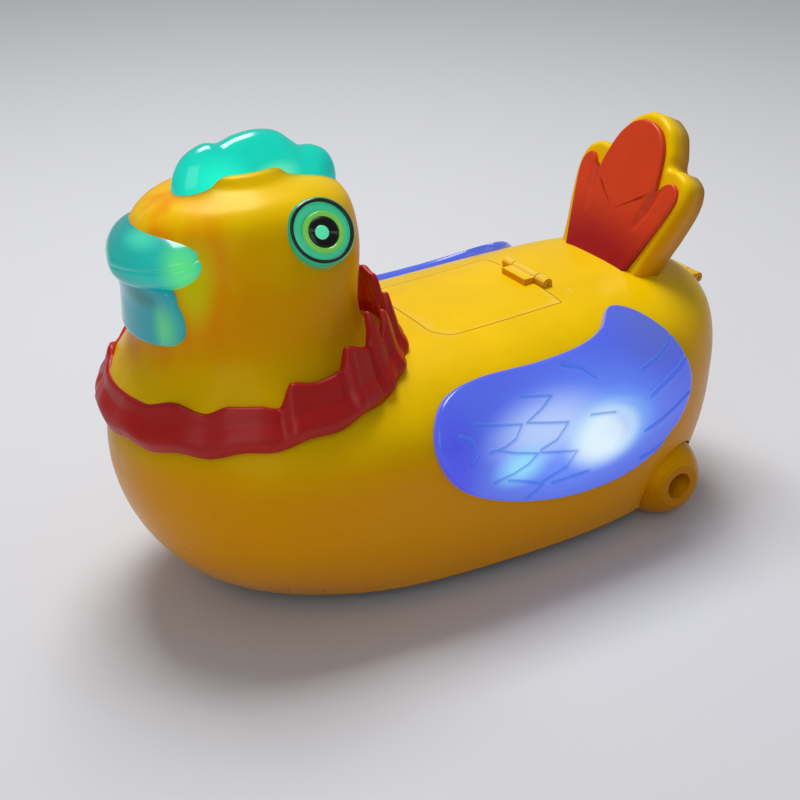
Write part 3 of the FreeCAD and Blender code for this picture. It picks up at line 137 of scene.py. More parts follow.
def make_edge_group():
    """A mask that is 1 on sharp outer edges and 0 elsewhere, broken up by noise."""
    group, given, out = new_group(
        "Rubbed edges", [("Amount", "NodeSocketFloat", 0.5)], [("Mask", "NodeSocketFloat")])
    add, link = group.nodes.new, group.links.new
    shape = add("ShaderNodeNewGeometry")
    sharp = add("ShaderNodeMapRange")
    sharp.inputs["From Min"].default_value = 0.53
    sharp.inputs["From Max"].default_value = 0.62
    link(shape.outputs["Pointiness"], sharp.inputs["Value"])
    place = add("ShaderNodeTexCoord")
    speckle = add("ShaderNodeTexNoise")
    speckle.inputs["Scale"].default_value = 420
    speckle.inputs["Detail"].default_value = 4
    link(place.outputs["Object"], speckle.inputs["Vector"])
    broken = add("ShaderNodeMath")
    broken.operation = "MULTIPLY"
    link(sharp.outputs["Result"], broken.inputs[0])
    link(speckle.outputs["Fac"], broken.inputs[1])
    amount = add("ShaderNodeMath")
    amount.operation = "MULTIPLY"
    amount.use_clamp = True
    link(broken.outputs["Value"], amount.inputs[0])
    link(given.outputs["Amount"], amount.inputs[1])
    link(amount.outputs["Value"], out.inputs["Mask"])
    return group


grain_group = make_grain_group()
edge_group = make_edge_group()
print("node groups:", grain_group.name, "and", edge_group.name)


# %% [markdown]
# ## Materials
# `surface` makes an opaque material: grain, uneven gloss and rubbed edges over one base colour.
# %% materials
def group_node(material, group, **values):
    """Adds a shared group to a material and sets its plain values."""
    made = material.node_tree.nodes.new("ShaderNodeGroup")
    made.node_tree = group
    for label, value in values.items():
        made.inputs[label].default_value = value
    return made


def surface(name, color, gloss=0.3, grain=0.05, metallic=0.0, coat=0.0, wear=0.35, pale=0.6, scale=1.0,
            under=0.0):
    """An opaque material with grain, uneven gloss and paler edges."""
    material = bpy.data.materials.new(name)
    material.use_nodes = True
    tree = material.node_tree
    shader = tree.nodes["Principled BSDF"]
    grainy = group_node(material, grain_group, Color=linear(color), Gloss=gloss, Grain=grain, Scale=scale)
    edges = group_node(material, edge_group, Amount=wear)
    mix = tree.nodes.new("ShaderNodeMix")
    mix.data_type = "RGBA"
    mix.inputs["B"].default_value = [c + (1 - c) * pale * 0.5 for c in linear(color)[:3]] + [1]
    tree.links.new(edges.outputs["Mask"], mix.inputs["Factor"])
    tree.links.new(grainy.outputs["Color"], mix.inputs["A"])
    tree.links.new(mix.outputs["Result"], shader.inputs["Base Color"])
    tree.links.new(grainy.outputs["Roughness"], shader.inputs["Roughness"])
    tree.links.new(grainy.outputs["Normal"], shader.inputs["Normal"])
    shader.inputs["Metallic"].default_value = metallic
    shader.inputs["Specular IOR Level"].default_value = 0.35
    shader.inputs["Coat Weight"].default_value = coat
    shader.inputs["Coat Roughness"].default_value = 0.08
    shader.inputs["Subsurface Weight"].default_value = under
    shader.inputs["Subsurface Radius"].default_value = (0.004, 0.0015, 0.0005)
    shader.inputs["Subsurface Scale"].default_value = 1.0
    return material


def with_painted_side_shade(material, shade_color):
    """Paints shade into a colour: a deeper, warmer tone wherever the surface faces sideways or down, where
    less light falls.
    """
    tree = material.node_tree
    shader = tree.nodes["Principled BSDF"]
    color = shader.inputs["Base Color"].links[0].from_socket
    facing = tree.nodes.new("ShaderNodeNewGeometry")
    split = tree.nodes.new("ShaderNodeSeparateXYZ")
    tree.links.new(facing.outputs["Normal"], split.inputs["Vector"])
    # side: the share of painted shade at each spot, none facing up and full facing sideways or down
    side = tree.nodes.new("ShaderNodeMapRange")
    side.interpolation_type = "SMOOTHSTEP"
    side.inputs["From Min"].default_value = 0.75
    side.inputs["From Max"].default_value = -0.15
    tree.links.new(split.outputs["Z"], side.inputs["Value"])
    mix = tree.nodes.new("ShaderNodeMix")
    mix.data_type = "RGBA"
    mix.inputs["B"].default_value = linear(shade_color)
    tree.links.new(side.outputs["Result"], mix.inputs["Factor"])
    tree.links.new(color, mix.inputs["A"])
    tree.links.new(mix.outputs["Result"], shader.inputs["Base Color"])
    shader.inputs["Specular IOR Level"].default_value = 0.22
    shader.inputs["Specular Tint"].default_value = linear((1.0, 0.85, 0.3))
    return material


# YELLOW is the shell's own colour; SHADED_SIDE_YELLOW is the painted shade that its sideways and downward
# faces get
YELLOW = (0.90, 0.73, 0.0)
SHADED_SIDE_YELLOW = (0.86, 0.57, 0.0)
made = {
    "yellow_shell": with_painted_side_shade(surface("yellow_shell", YELLOW, gloss=0.3, grain=0.03, coat=0.04), SHADED_SIDE_YELLOW),
    # the wheel's second colour is painted shade on its sideways and downward faces
    "yellow_wheel": with_painted_side_shade(surface("yellow_wheel", (0.86, 0.60, 0.0), gloss=0.3, grain=0.05),
                           (0.74, 0.46, 0.0)),
    "red_plastic": surface("red_plastic", (0.72, 0.04, 0.0), gloss=0.22, grain=0.04, coat=0.3),
    "teal_clear": surface("teal_clear", (0.05, 0.85, 0.72), gloss=0.15, grain=0.02, coat=0.5),
    "green_clear": surface("green_clear", (0.2, 0.8, 0.45), gloss=0.12, grain=0.02, coat=0.5),
    "blue_clear": surface("blue_clear", (0.3, 0.42, 0.95), gloss=0.15, grain=0.02, coat=0.5),
    "black_plastic": surface("black_plastic", (0.03, 0.03, 0.035), gloss=0.2, grain=0.05),
    "white_plastic": surface("white_plastic", (0.86, 0.86, 0.83), gloss=0.4, grain=0.1),
    "grey_plastic": surface("grey_plastic", (0.25, 0.25, 0.26), gloss=0.5, grain=0.35),
    "lamp_board": surface("lamp_board", (0.8, 0.84, 0.8), gloss=0.3, grain=0.08),
    "circuit_board": surface("circuit_board", (0.05, 0.3, 0.12), gloss=0.3, grain=0.15),
    "steel": surface("steel", (0.72, 0.72, 0.73), gloss=0.25, grain=0.1, metallic=1.0),
    "brass": surface("brass", (0.85, 0.66, 0.3), gloss=0.25, grain=0.1, metallic=1.0),
    "battery_jacket": surface("battery_jacket", (0.14, 0.14, 0.16), gloss=0.3, grain=0.05),
    "black_rubber": surface("black_rubber", (0.05, 0.05, 0.05), gloss=0.75, grain=0.5),
}
for name, node in nodes.items():
    for index in range(max(1, len(node.material_slots))):
        if not node.material_slots:
            node.data.materials.append(made[SLOT_OF[name]])
        else:
            node.material_slots[index].material = made[SLOT_OF[name]]
print("materials:", len(made))

# %% [markdown]
# ## Lit materials
# The comb, beak, wattle, eyes and wings are clear plastic with a lamp behind. `lit` blends a deep colour
# into a bright one round the lamp, and shows more light where the surface faces the eye.
# %% lit materials
def make_halo_group():
    """A value that is 1 at a lamp's place and falls to 0 at its reach; places and reaches are in metres."""
    group, given, out = new_group(
        "Lamp halo",
        [("Place", "NodeSocketVector", (0, 0, 0)), ("Reach", "NodeSocketVector", (0.02, 0.02, 0.02)),
         ("Core", "NodeSocketFloat", 0.1)], [("Value", "NodeSocketFloat")])
    add, link = group.nodes.new, group.links.new
    place = add("ShaderNodeTexCoord")
    away = add("ShaderNodeVectorMath")
    away.operation = "SUBTRACT"
    link(place.outputs["Object"], away.inputs[0])
    link(given.outputs["Place"], away.inputs[1])
    share = add("ShaderNodeVectorMath")
    share.operation = "DIVIDE"
    link(away.outputs["Vector"], share.inputs[0])
    link(given.outputs["Reach"], share.inputs[1])
    length = add("ShaderNodeVectorMath")
    length.operation = "LENGTH"
    link(share.outputs["Vector"], length.inputs[0])
    fall = add("ShaderNodeMapRange")
    fall.interpolation_type = "SMOOTHSTEP"
    fall.inputs["From Max"].default_value = 1.0
    fall.inputs["To Min"].default_value = 1.0
    fall.inputs["To Max"].default_value = 0.0
    link(length.outputs["Value"], fall.inputs["Value"])
    link(given.outputs["Core"], fall.inputs["From Min"])
    link(fall.outputs["Result"], out.inputs["Value"])
    return group


halo_group = make_halo_group()


def mixed(tree, factor, first, second):
    """A colour mix; each colour is a socket or a display colour, and factor is a socket or a number."""
    node = tree.nodes.new("ShaderNodeMix")
    node.data_type = "RGBA"
    for socket, value in (("Factor", factor), ("A", first), ("B", second)):
        if isinstance(value, bpy.types.NodeSocket):
            tree.links.new(value, node.inputs[socket])
        elif socket == "Factor":
            node.inputs[socket].default_value = value
        else:
            node.inputs[socket].default_value = linear(value)
    return node.outputs["Result"]


def halo(material, place, reach, core=0.1):
    """The halo value for a lamp place and reach in millimetres."""
    node = group_node(material, halo_group, Place=[c * MM for c in place], Reach=[c * MM for c in reach],
                      Core=core)
    return node.outputs["Value"]


def lit(name, deep, bright, lamps, gloss=0.18, glow=0.8, edge=0.35, haze=0.35):
    """Clear coloured plastic with lamps behind it; lamps is a list of (place, reach, colour)."""
    material = surface(name, deep, gloss=gloss, grain=0.03, coat=0.35, wear=0.0)
    tree = material.node_tree
    shader = tree.nodes["Principled BSDF"]
    facing = tree.nodes.new("ShaderNodeLayerWeight")
    facing.inputs["Blend"].default_value = edge
    place = tree.nodes.new("ShaderNodeTexCoord")
    cloud = tree.nodes.new("ShaderNodeTexNoise")
    cloud.inputs["Scale"].default_value = 90
    cloud.inputs["Detail"].default_value = 3
    tree.links.new(place.outputs["Object"], cloud.inputs["Vector"])
    soft = tree.nodes.new("ShaderNodeMath")
    soft.operation = "MULTIPLY"
    soft.inputs[1].default_value = haze
    tree.links.new(cloud.outputs["Fac"], soft.inputs[0])
    color = mixed(tree, facing.outputs["Facing"], bright, deep)
    color = mixed(tree, soft.outputs["Value"], color, deep)
    for spot, reach, lamp_color in lamps:
        color = mixed(tree, halo(material, spot, reach), color, lamp_color)
    tree.links.new(color, shader.inputs["Emission Color"])
    shader.inputs["Emission Strength"].default_value = glow
    for link in list(shader.inputs["Base Color"].links):
        tree.links.remove(link)
    shader.inputs["Base Color"].default_value = [c * 0.35 for c in linear(deep)[:3]] + [1]
    return material


comb_material = lit(
    "comb_lit", (0.02, 0.60, 0.56), (0.0, 0.86, 0.74),
    [((79, 4, 150), (14, 16, 11), (0.10, 0.98, 0.82)), ((60, 6, 149), (12, 10, 6), (0.45, 0.95, 0.72)),
     ((37, 0, 147), (9, 20, 9), (0.02, 0.62, 0.60))], glow=0.95)
beak_material = lit(
    "beak_lit", (0.02, 0.50, 0.50), (0.12, 0.76, 0.70),
    [((100, 22, 131), (9, 12, 14), (0.38, 0.92, 0.52)), ((112, 0, 121), (12, 22, 7), (0.05, 0.50, 0.50)),
     ((108, 8, 138), (10, 12, 5), (0.30, 0.88, 0.72))], glow=0.8)
wattle_material = lit(
    "wattle_lit", (0.05, 0.47, 0.55), (0.16, 0.66, 0.68),
    [((103, 16, 110), (7, 7, 14), (0.40, 0.86, 0.50)), ((108, 8, 119), (12, 12, 5), (0.03, 0.45, 0.42)),
     ((112, -6, 100), (9, 12, 8), (0.08, 0.45, 0.58))], glow=0.62)
eye_material = lit(
    "eye_lit", (0.02, 0.52, 0.40), (0.12, 0.80, 0.52),
    [((58, 30, 146), (9, 9, 6), (0.50, 0.95, 0.55))], glow=0.55)
mint_material = lit("mint_lit", (0.12, 0.70, 0.50), (0.30, 0.86, 0.66), [], glow=0.55)
lime_material = lit("lime_lit", (0.40, 0.74, 0.28), (0.55, 0.88, 0.38), [], glow=0.5)
spark_material = lit("spark_lit", (0.25, 0.80, 0.60), (0.40, 0.92, 0.72), [], glow=0.7)
collar_material = surface("collar_red", (0.68, 0.03, 0.0), gloss=0.42, grain=0.04, coat=0.04,
                          wear=0.1, pale=0.2)


def make_tail_material():
    """Red plastic, deep at the root and lighter towards the tips."""
    material = surface("tail_red", (0.80, 0.22, 0.0), gloss=0.4, grain=0.04, coat=0.04, wear=0.1, pale=0.2)
    tree = material.node_tree
    shader = tree.nodes["Principled BSDF"]
    color = shader.inputs["Base Color"].links[0].from_socket
    low = halo(material, (-80, 0, 88), (60, 60, 26), 0.25)
    color = mixed(tree, low, color, (0.60, 0.01, 0.0))
    tree.links.new(color, shader.inputs["Base Color"])
    return material


tail_material = make_tail_material()


def make_wing_material():
    """Frosted blue plastic over a bright lamp, with fine dots round the lamp and painted shade along the
    feather grooves.
    """
    material = surface("wing_lit", (0.20, 0.26, 0.80), gloss=0.2, grain=0.05, coat=0.3, wear=0.0)
    tree = material.node_tree
    shader = tree.nodes["Principled BSDF"]
    color = mixed(tree, halo(material, (-28, 0, 56), (56, 400, 30), 0.25), (0.30, 0.38, 0.84),
                  (0.42, 0.58, 1.0))
    color = mixed(tree, halo(material, (-70, 0, 84), (26, 400, 20), 0.1), color, (0.34, 0.40, 0.72))
    color = mixed(tree, halo(material, (24, 0, 56), (14, 400, 30), 0.1), color, (0.26, 0.28, 0.86))
    color = mixed(tree, halo(material, (-14, 0, 62), (32, 400, 15), 0.2), color, (0.74, 0.84, 1.0))
    color = mixed(tree, halo(material, (-2, 0, 51), (15, 400, 10), 0.1), color, (0.60, 0.90, 1.0))
    color = mixed(tree, halo(material, (-41, 0, 54), (25, 400, 17), 0.1), color, (0.62, 0.90, 1.0))
    color = mixed(tree, halo(material, (-38, 0, 52.5), (21, 400, 15), 0.35), color, (0.92, 1.0, 1.0))
    # the groove mask paints shade into the glow along the feather grooves
    groove = tree.nodes.new("ShaderNodeAttribute")
    groove.attribute_name = "groove"
    line = tree.nodes.new("ShaderNodeMath")
    line.operation = "MULTIPLY"
    line.inputs[1].default_value = 0.62
    tree.links.new(groove.outputs["Fac"], line.inputs[0])
    color = mixed(tree, line.outputs["Value"], color, (0.16, 0.42, 0.80))
    place = tree.nodes.new("ShaderNodeTexCoord")
    dots = tree.nodes.new("ShaderNodeTexVoronoi")
    dots.inputs["Scale"].default_value = 1150
    dots.inputs["Randomness"].default_value = 0.0
    tree.links.new(place.outputs["Object"], dots.inputs["Vector"])
    dotted = tree.nodes.new("ShaderNodeMapRange")
    dotted.inputs["From Min"].default_value = 0.25
    dotted.inputs["From Max"].default_value = 0.55
    tree.links.new(dots.outputs["Distance"], dotted.inputs["Value"])
    ring = tree.nodes.new("ShaderNodeMath")
    ring.operation = "MULTIPLY"
    tree.links.new(halo(material, (-52, 0, 58), (20, 400, 16), 0.2), ring.inputs[0])
    tree.links.new(dotted.outputs["Result"], ring.inputs[1])
    dim = tree.nodes.new("ShaderNodeMath")
    dim.operation = "MULTIPLY"
    dim.inputs[1].default_value = 0.35
    tree.links.new(ring.outputs["Value"], dim.inputs[0])
    color = mixed(tree, dim.outputs["Value"], color, (0.30, 0.45, 0.95))
    tree.links.new(color, shader.inputs["Emission Color"])
    shader.inputs["Emission Strength"].default_value = 0.85
    for link in list(shader.inputs["Base Color"].links):
        tree.links.remove(link)
    shader.inputs["Base Color"].default_value = linear((0.16, 0.20, 0.50))
    return material


wing_material = make_wing_material()


def make_head_material():
    """The head's yellow with painted side shade, soft orange bands of painted lamp glow round the beak, a
    painted green spill of light beside the beak, and a weak glow from the lamp inside.
    """
    material = with_painted_side_shade(surface("head_yellow", YELLOW, gloss=0.34, grain=0.03, coat=0.04), SHADED_SIDE_YELLOW)
    tree = material.node_tree
    shader = tree.nodes["Principled BSDF"]
    color = shader.inputs["Base Color"].links[0].from_socket
    place = tree.nodes.new("ShaderNodeTexCoord")
    stretch = tree.nodes.new("ShaderNodeMapping")
    stretch.inputs["Scale"].default_value = (1.0, 1.0, 0.22)
    tree.links.new(place.outputs["Object"], stretch.inputs["Vector"])
    band = tree.nodes.new("ShaderNodeTexNoise")
    band.inputs["Scale"].default_value = 75
    band.inputs["Detail"].default_value = 2
    tree.links.new(stretch.outputs["Vector"], band.inputs["Vector"])
    shown = tree.nodes.new("ShaderNodeMapRange")
    shown.inputs["From Min"].default_value = 0.40
    shown.inputs["From Max"].default_value = 0.62
    tree.links.new(band.outputs["Fac"], shown.inputs["Value"])
    # near: where the orange bands of painted lamp glow show round the beak
    near = tree.nodes.new("ShaderNodeMath")
    near.operation = "MULTIPLY"
    tree.links.new(halo(material, (98, 0, 122), (34, 48, 40), 0.35), near.inputs[0])
    tree.links.new(shown.outputs["Result"], near.inputs[1])
    color = mixed(tree, near.outputs["Value"], color, (0.88, 0.47, 0.0))
    # a painted green spill of light from the lit beak, beside it
    color = mixed(tree, halo(material, (98, 24, 127), (10, 9, 22), 0.2), color, (0.80, 0.80, 0.05))
    tree.links.new(color, shader.inputs["Base Color"])
    # a weak glow near the beak from the lamp inside the head
    glow = mixed(tree, halo(material, (100, 0, 125), (30, 50, 42), 0.2), (0.0, 0.0, 0.0), (0.60, 0.28, 0.0))
    tree.links.new(glow, shader.inputs["Emission Color"])
    shader.inputs["Emission Strength"].default_value = 0.25
    return material


head_material = make_head_material()
for side_name in ("left", "right"):
    for slot_row in nodes["head_shell_" + side_name].material_slots:
        slot_row.material = head_material
print("lit materials ready")

# %% [markdown]
# ## Shape tools
# Most of the moulded pieces start as a flat grid from `bmesh` whose points are then carried to their
# places, so a smooth outline, a rounded rim and a relief all come from one formula each.
# %% shape tools
def finished(name, mesh, material, body, stands_for):
    """Makes a smooth object of a mesh, lets it ride on its body and hides the CAD nodes it stands for."""
    bmesh.ops.remove_doubles(mesh, verts=mesh.verts, dist=0.002 * MM)
    bmesh.ops.recalc_face_normals(mesh, faces=mesh.faces)
    data = bpy.data.meshes.new(name)
    mesh.to_mesh(data)
    mesh.free()
    data.shade_smooth()
    data.materials.append(material)
    piece = bpy.data.objects.new(name, data)
    scene.collection.objects.link(piece)
    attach(piece, body)
    if stands_for:
        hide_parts(*stands_for)
    return piece


def carried_grid(across, along, place):
    """A grid whose points are carried to place(u, v), with u and v from 0 to 1."""
    mesh = bmesh.new()
    bmesh.ops.create_grid(mesh, x_segments=across, y_segments=along, size=0.5)
    for vert in mesh.verts:
        vert.co = place(vert.co.x + 0.5, vert.co.y + 0.5)
    return mesh


def closed_curve(corners, count):
    """Points spread along a smooth closed curve through the corners."""
    total = len(corners)
    points = []
    for step in range(count):
        spot = step / count * total
        index, t = int(spot), spot - int(spot)
        before, start, end, after = (Vector(corners[(index + k) % total]) for k in (-1, 0, 1, 2))
        points.append(0.5 * (2 * start + (end - before) * t
                             + (2 * before - 5 * start + 4 * end - after) * t * t
                             + (3 * start - before - 3 * end + after) * t ** 3))
    return points


def blend_at(knots, spot):
    """The value between the two knots (place, value) around a spot, eased."""
    if spot <= knots[0][0]:
        return knots[0][1]
    for (low, first), (high, second) in zip(knots, knots[1:]):
        if spot <= high:
            t = (spot - low) / (high - low)
            t = t * t * (3 - 2 * t)
            return first + (second - first) * t
    return knots[-1][1]


def pillow(outline, centre, rim, thickness, surface_point, rise, around=360, rings=60):
    """A slab with a rounded rim: an outline in two directions, carried into place by surface_point.

    rise(a, b) is the height of the front at a spot; the back lies thickness lower.
    """
    edge = closed_curve(outline, around)
    middle = Vector(centre)
    arc_rows = 8
    back_rows = 3
    rows = rings + arc_rows + back_rows

    def place(u, v):
        index = int(round(u * around)) % around
        row = int(round(v * rows))
        reach = edge[index] - middle
        length = reach.length
        way = reach / length
        if row <= rings:
            spot = middle + way * (length - rim) * (row / rings)
            depth = rise(spot.x, spot.y)
        elif row <= rings + arc_rows:
            turn = (row - rings) / arc_rows * math.pi / 2
            spot = middle + way * (length - rim * (1 - math.sin(turn)))
            depth = rise(spot.x, spot.y) - rim * (1 - math.cos(turn))
        else:
            share = 1 - (row - rings - arc_rows - 1) / (back_rows - 1)
            spot = middle + way * length * share
            depth = -thickness
        return surface_point(spot.x, spot.y, depth)

    return carried_grid(around, rows, place)


def spun(profile, axis_point, axis, steps=96):
    """A turned shape: a profile of (radius, height) swept round an axis."""
    mesh = bmesh.new()
    verts = [mesh.verts.new((radius, 0, height)) for radius, height in profile]
    edges = [mesh.edges.new(pair) for pair in zip(verts, verts[1:])]
    bmesh.ops.spin(mesh, geom=verts + edges, cent=(0, 0, 0), axis=(0, 0, 1), angle=math.tau, steps=steps,
                   use_merge=True)
    turn = Vector((0, 0, 1)).rotation_difference(Vector(axis).normalized())
    for vert in mesh.verts:
        vert.co = Vector(axis_point) + turn @ vert.co
    return mesh


def line_distance(x, z, line):
    """The shortest way from a spot to a line of straight runs."""
    nearest = 1.0
    for (x0, z0), (x1, z1) in zip(line, line[1:]):
        dx, dz = x1 - x0, z1 - z0
        t = max(0.0, min(1.0, ((x - x0) * dx + (z - z0) * dz) / (dx * dx + dz * dz)))
        nearest = min(nearest, math.hypot(x - x0 - t * dx, z - z0 - t * dz))
    return nearest


print("shape tools ready")

# %% [markdown]
# ## The wings
# Each wing follows the CAD wing's outer face. The face is measured with rays, and a smooth formula
# through the measured points carries the feather relief.
# %% wings
WING_OUTLINE = [(-59, 88.6), (-48, 85), (-36, 82.6), (-18, 81.5), (6, 81.5), (21, 79.5), (29, 73), (30.2, 63),
                (24, 51), (12, 42), (-6, 35), (-27, 31), (-50, 31.5), (-67, 37), (-79, 47), (-83.5, 59),
                (-80.5, 70), (-73, 81)]
FEATHERS = [
    [(15, 70), (7, 68), (-3, 66), (0, 62), (5, 60), (11, 60)],
    [(8, 60), (1, 57), (-9, 54), (-5, 51), (1, 49), (9, 48)],
    [(3, 47), (-5, 44), (-12, 41), (-9, 39), (-5, 37)], [(-5, 74), (-11, 73), (-17, 72), (-12, 69), (-5, 66)],
    [(-5, 66), (-13, 64), (-22, 62), (-17, 57), (-10, 55)],
    [(-10, 54), (-18, 52), (-26, 50), (-22, 45), (-12, 42)],
    [(-16, 40), (-24, 40), (-32, 40)], [(-32, 62), (-38, 61), (-43, 60)],
    [(-76, 79), (-73, 76), (-66, 73), (-57, 71)], [(-81, 70), (-76, 67), (-68, 64), (-60, 61)],
    [(-81, 56), (-74, 53), (-66, 50), (-58, 48)], [(-76, 44), (-70, 40), (-64, 38), (-57, 37)],
    [(-25, 79), (-32, 77), (-37, 73)], [(22, 68), (18, 66), (16, 61), (19, 58)],
]
FEATHERS = [[(x * MM, z * MM) for x, z in line] for line in FEATHERS]
GROOVE_DEPTH = 0.75 * MM
GROOVE_WIDTH = 0.55 * MM
RAY_AXIS_HEIGHT = 40 * MM
RAYS_ALONG = 70
RAYS_UP = 40
FIT_DEGREE = 6
WING_CENTRE = (-22 * MM, 58 * MM)
WING_RIM = 1.6 * MM
WING_THICKNESS = 3.4 * MM


def measured_face(node):
    """A smooth formula for a wing's outer face: distance from a lengthwise axis at (x, angle)."""
    tree = BVHTree.FromObject(nodes[node], bpy.context.evaluated_depsgraph_get())
    low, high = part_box(node)
    side = 1 if (low.y + high.y) > 0 else -1
    rows, reached = [], []
    for i in range(RAYS_ALONG):
        for j in range(RAYS_UP):
            x = low.x + (high.x - low.x) * (i + 0.5) / RAYS_ALONG
            z = low.z + (high.z - low.z) * (j + 0.5) / RAYS_UP
            spot = tree.ray_cast(Vector((x, side * 0.2, z)), Vector((0, -side, 0)))[0]
            if spot is None:
                continue
            rise = z - RAY_AXIS_HEIGHT
            rows.append((x, math.atan2(rise, abs(spot.y))))
            reached.append(math.hypot(rise, spot.y))
    spots = np.array(rows)
    powers = [(i, j) for i in range(FIT_DEGREE + 1) for j in range(FIT_DEGREE + 1 - i)]
    scale = np.array([0.1, 1.0])
    table = np.stack([(spots[:, 0] / scale[0]) ** i * (spots[:, 1] / scale[1]) ** j for i, j in powers], 1)
    factors = np.linalg.lstsq(table, np.array(reached), rcond=None)[0]

    def distance(x, angle):
        x = x / scale[0]
        return float(sum(f * x ** i * angle ** j for f, (i, j) in zip(factors, powers)))

    return distance, side


def feather_relief(x, z):
    """Grooves between the feathers, each with a soft lip beside it."""
    gap = min(line_distance(x, z, line) for line in FEATHERS)
    groove = math.exp(-(gap / GROOVE_WIDTH) ** 2)
    lip = math.exp(-((gap - 2.4 * GROOVE_WIDTH) / (1.4 * GROOVE_WIDTH)) ** 2)
    return groove, lip


def make_wing(side_name):
    """One clear wing with its rounded rim and its feathers."""
    node = "wing_" + side_name
    distance, side = measured_face(node)
    around = 440
    rings = 130

    def outer(x, angle, depth):
        reach = distance(x, angle) + depth
        return Vector((x, side * reach * math.cos(angle), RAY_AXIS_HEIGHT + reach * math.sin(angle)))

    def angle_of(x, z):
        angle = math.asin(max(-0.9, min(0.95, (z - RAY_AXIS_HEIGHT) / 0.065)))
        for _ in range(6):
            angle = math.asin(max(-0.95, min(0.97, (z - RAY_AXIS_HEIGHT) / distance(x, angle))))
        return angle

    unit = 0.06
    outline = [(x * MM, angle_of(x * MM, z * MM) * unit) for x, z in WING_OUTLINE]
    centre = (WING_CENTRE[0], angle_of(*WING_CENTRE) * unit)
    grooves = {}

    def height(a, b):
        angle = b / unit
        reach = distance(a, angle)
        groove, lip = feather_relief(a, RAY_AXIS_HEIGHT + reach * math.sin(angle))
        grooves[(round(a, 7), round(b, 7))] = groove
        return -0.1 * MM - GROOVE_DEPTH * groove + 0.12 * MM * lip

    marks = []

    def surface_point(a, b, depth):
        marks.append(grooves.get((round(a, 7), round(b, 7)), 0.0))
        return outer(a, b / unit, depth)

    mesh = pillow(outline, centre, WING_RIM, WING_THICKNESS, surface_point, height, around, rings)
    layer = mesh.verts.layers.float.new("groove")
    for vert, mark in zip(mesh.verts, marks):
        vert[layer] = mark
    return finished(node + "_lens", mesh, wing_material, "casing", [node])


wings = [make_wing("left"), make_wing("right")]
print("wings:", [len(wing.data.vertices) for wing in wings])

# %% [markdown]
# ## The comb
# A ridge of three soft lobes along the middle of the head, thick at its root and rounded over its top.
# %% comb
COMB_EDGE = [(90.6, 141), (92.0, 147), (90.6, 153), (87, 158), (80.5, 160.9), (75.2, 160.3), (69.5, 162),
             (62.5, 162.7), (55.5, 161.4), (50.5, 157.8), (47.0, 155.2), (42.5, 154.6), (38.0, 152.4),
             (35.3, 148.5), (34.3, 144), (35, 139)]
COMB_ROOT_FRONT = (86, 137)
COMB_ROOT_REAR = (39, 136)
COMB_FRONT_HALF = 9.6
COMB_REAR_HALF = 7.6


def open_curve(corners, t):
    """A spot on a smooth open curve through the corners, t from 0 to 1."""
    spot = t * (len(corners) - 1)
    index = min(int(spot), len(corners) - 2)
    t = spot - index
    before = Vector(corners[max(index - 1, 0)])
    start, end = Vector(corners[index]), Vector(corners[index + 1])
    after = Vector(corners[min(index + 2, len(corners) - 1)])
    return 0.5 * (2 * start + (end - before) * t + (2 * before - 5 * start + 4 * end - after) * t * t
                  + (3 * start - before - 3 * end + after) * t ** 3)


def comb_point(u, v):
    """Round the comb: u along its edge, v over it from the left root to the right root."""
    edge = open_curve(COMB_EDGE, u)
    root = Vector(COMB_ROOT_FRONT).lerp(Vector(COMB_ROOT_REAR), u)
    turn = math.pi * v
    lift = math.sin(turn) ** 0.8 if 0 < v < 1 else 0.0
    spot = root.lerp(edge, lift)
    taper = math.sin(math.pi * min(max(u, 0.0), 1.0)) ** 0.35
    widest = COMB_FRONT_HALF + (COMB_REAR_HALF - COMB_FRONT_HALF) * min(1.0, max(0.0, (u - 0.4) / 0.3))
    across = widest * (0.35 + 0.65 * taper) * math.copysign(abs(math.cos(turn)) ** 0.9, math.cos(turn))
    return Vector((spot.x, across, spot.y)) * MM


comb = finished("comb_lobes", carried_grid(160, 48, comb_point), comb_material, "casing", ["comb"])
print("comb:", len(comb.data.vertices))

# %% [markdown]
# ## Beak and wattle
# The beak is a blunt bill with a mouth line; the wattle is a rounded bib that lies on the throat.
# %% beak and wattle
BEAK_TIP_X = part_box("beak")[1].x - 1.4 * MM
BEAK_HALF = Vector((17.6, 24.6, 11.2)) * MM
BEAK_MIDDLE_Z = 129.7 * MM
BEAK_DROOP = 0.13
MOUTH_HEIGHT = 127.6 * MM
MOUTH_RISE = 0.30


def beak_point(u, v):
    """u round the bill, v from its tip to behind its widest place."""
    turn = math.tau * u
    open_angle = math.radians(118) * v
    centre_x = BEAK_TIP_X - BEAK_HALF.x
    x = centre_x + BEAK_HALF.x * math.cos(open_angle)
    reach = math.sin(open_angle) ** 0.97 if v > 0 else 0.0
    y = BEAK_HALF.y * reach ** 1.45 * math.cos(turn)
    middle = BEAK_MIDDLE_Z + (centre_x - x) * BEAK_DROOP
    z = middle + BEAK_HALF.z * reach * math.sin(turn)
    gap = z - (MOUTH_HEIGHT + (BEAK_TIP_X - x) * MOUTH_RISE)
    groove = math.exp(-(gap / (0.55 * MM)) ** 2)
    lower = 1 / (1 + math.exp(gap / (0.3 * MM)))
    inward = Vector((0.35, y / BEAK_HALF.y, (z - middle) / BEAK_HALF.z)) * MM
    spot = Vector((x, y, z)) - inward * (0.85 * groove + 0.55 * lower)
    return spot


beak = finished("beak_bill", carried_grid(256, 200, beak_point), beak_material, "casing", ["beak"])

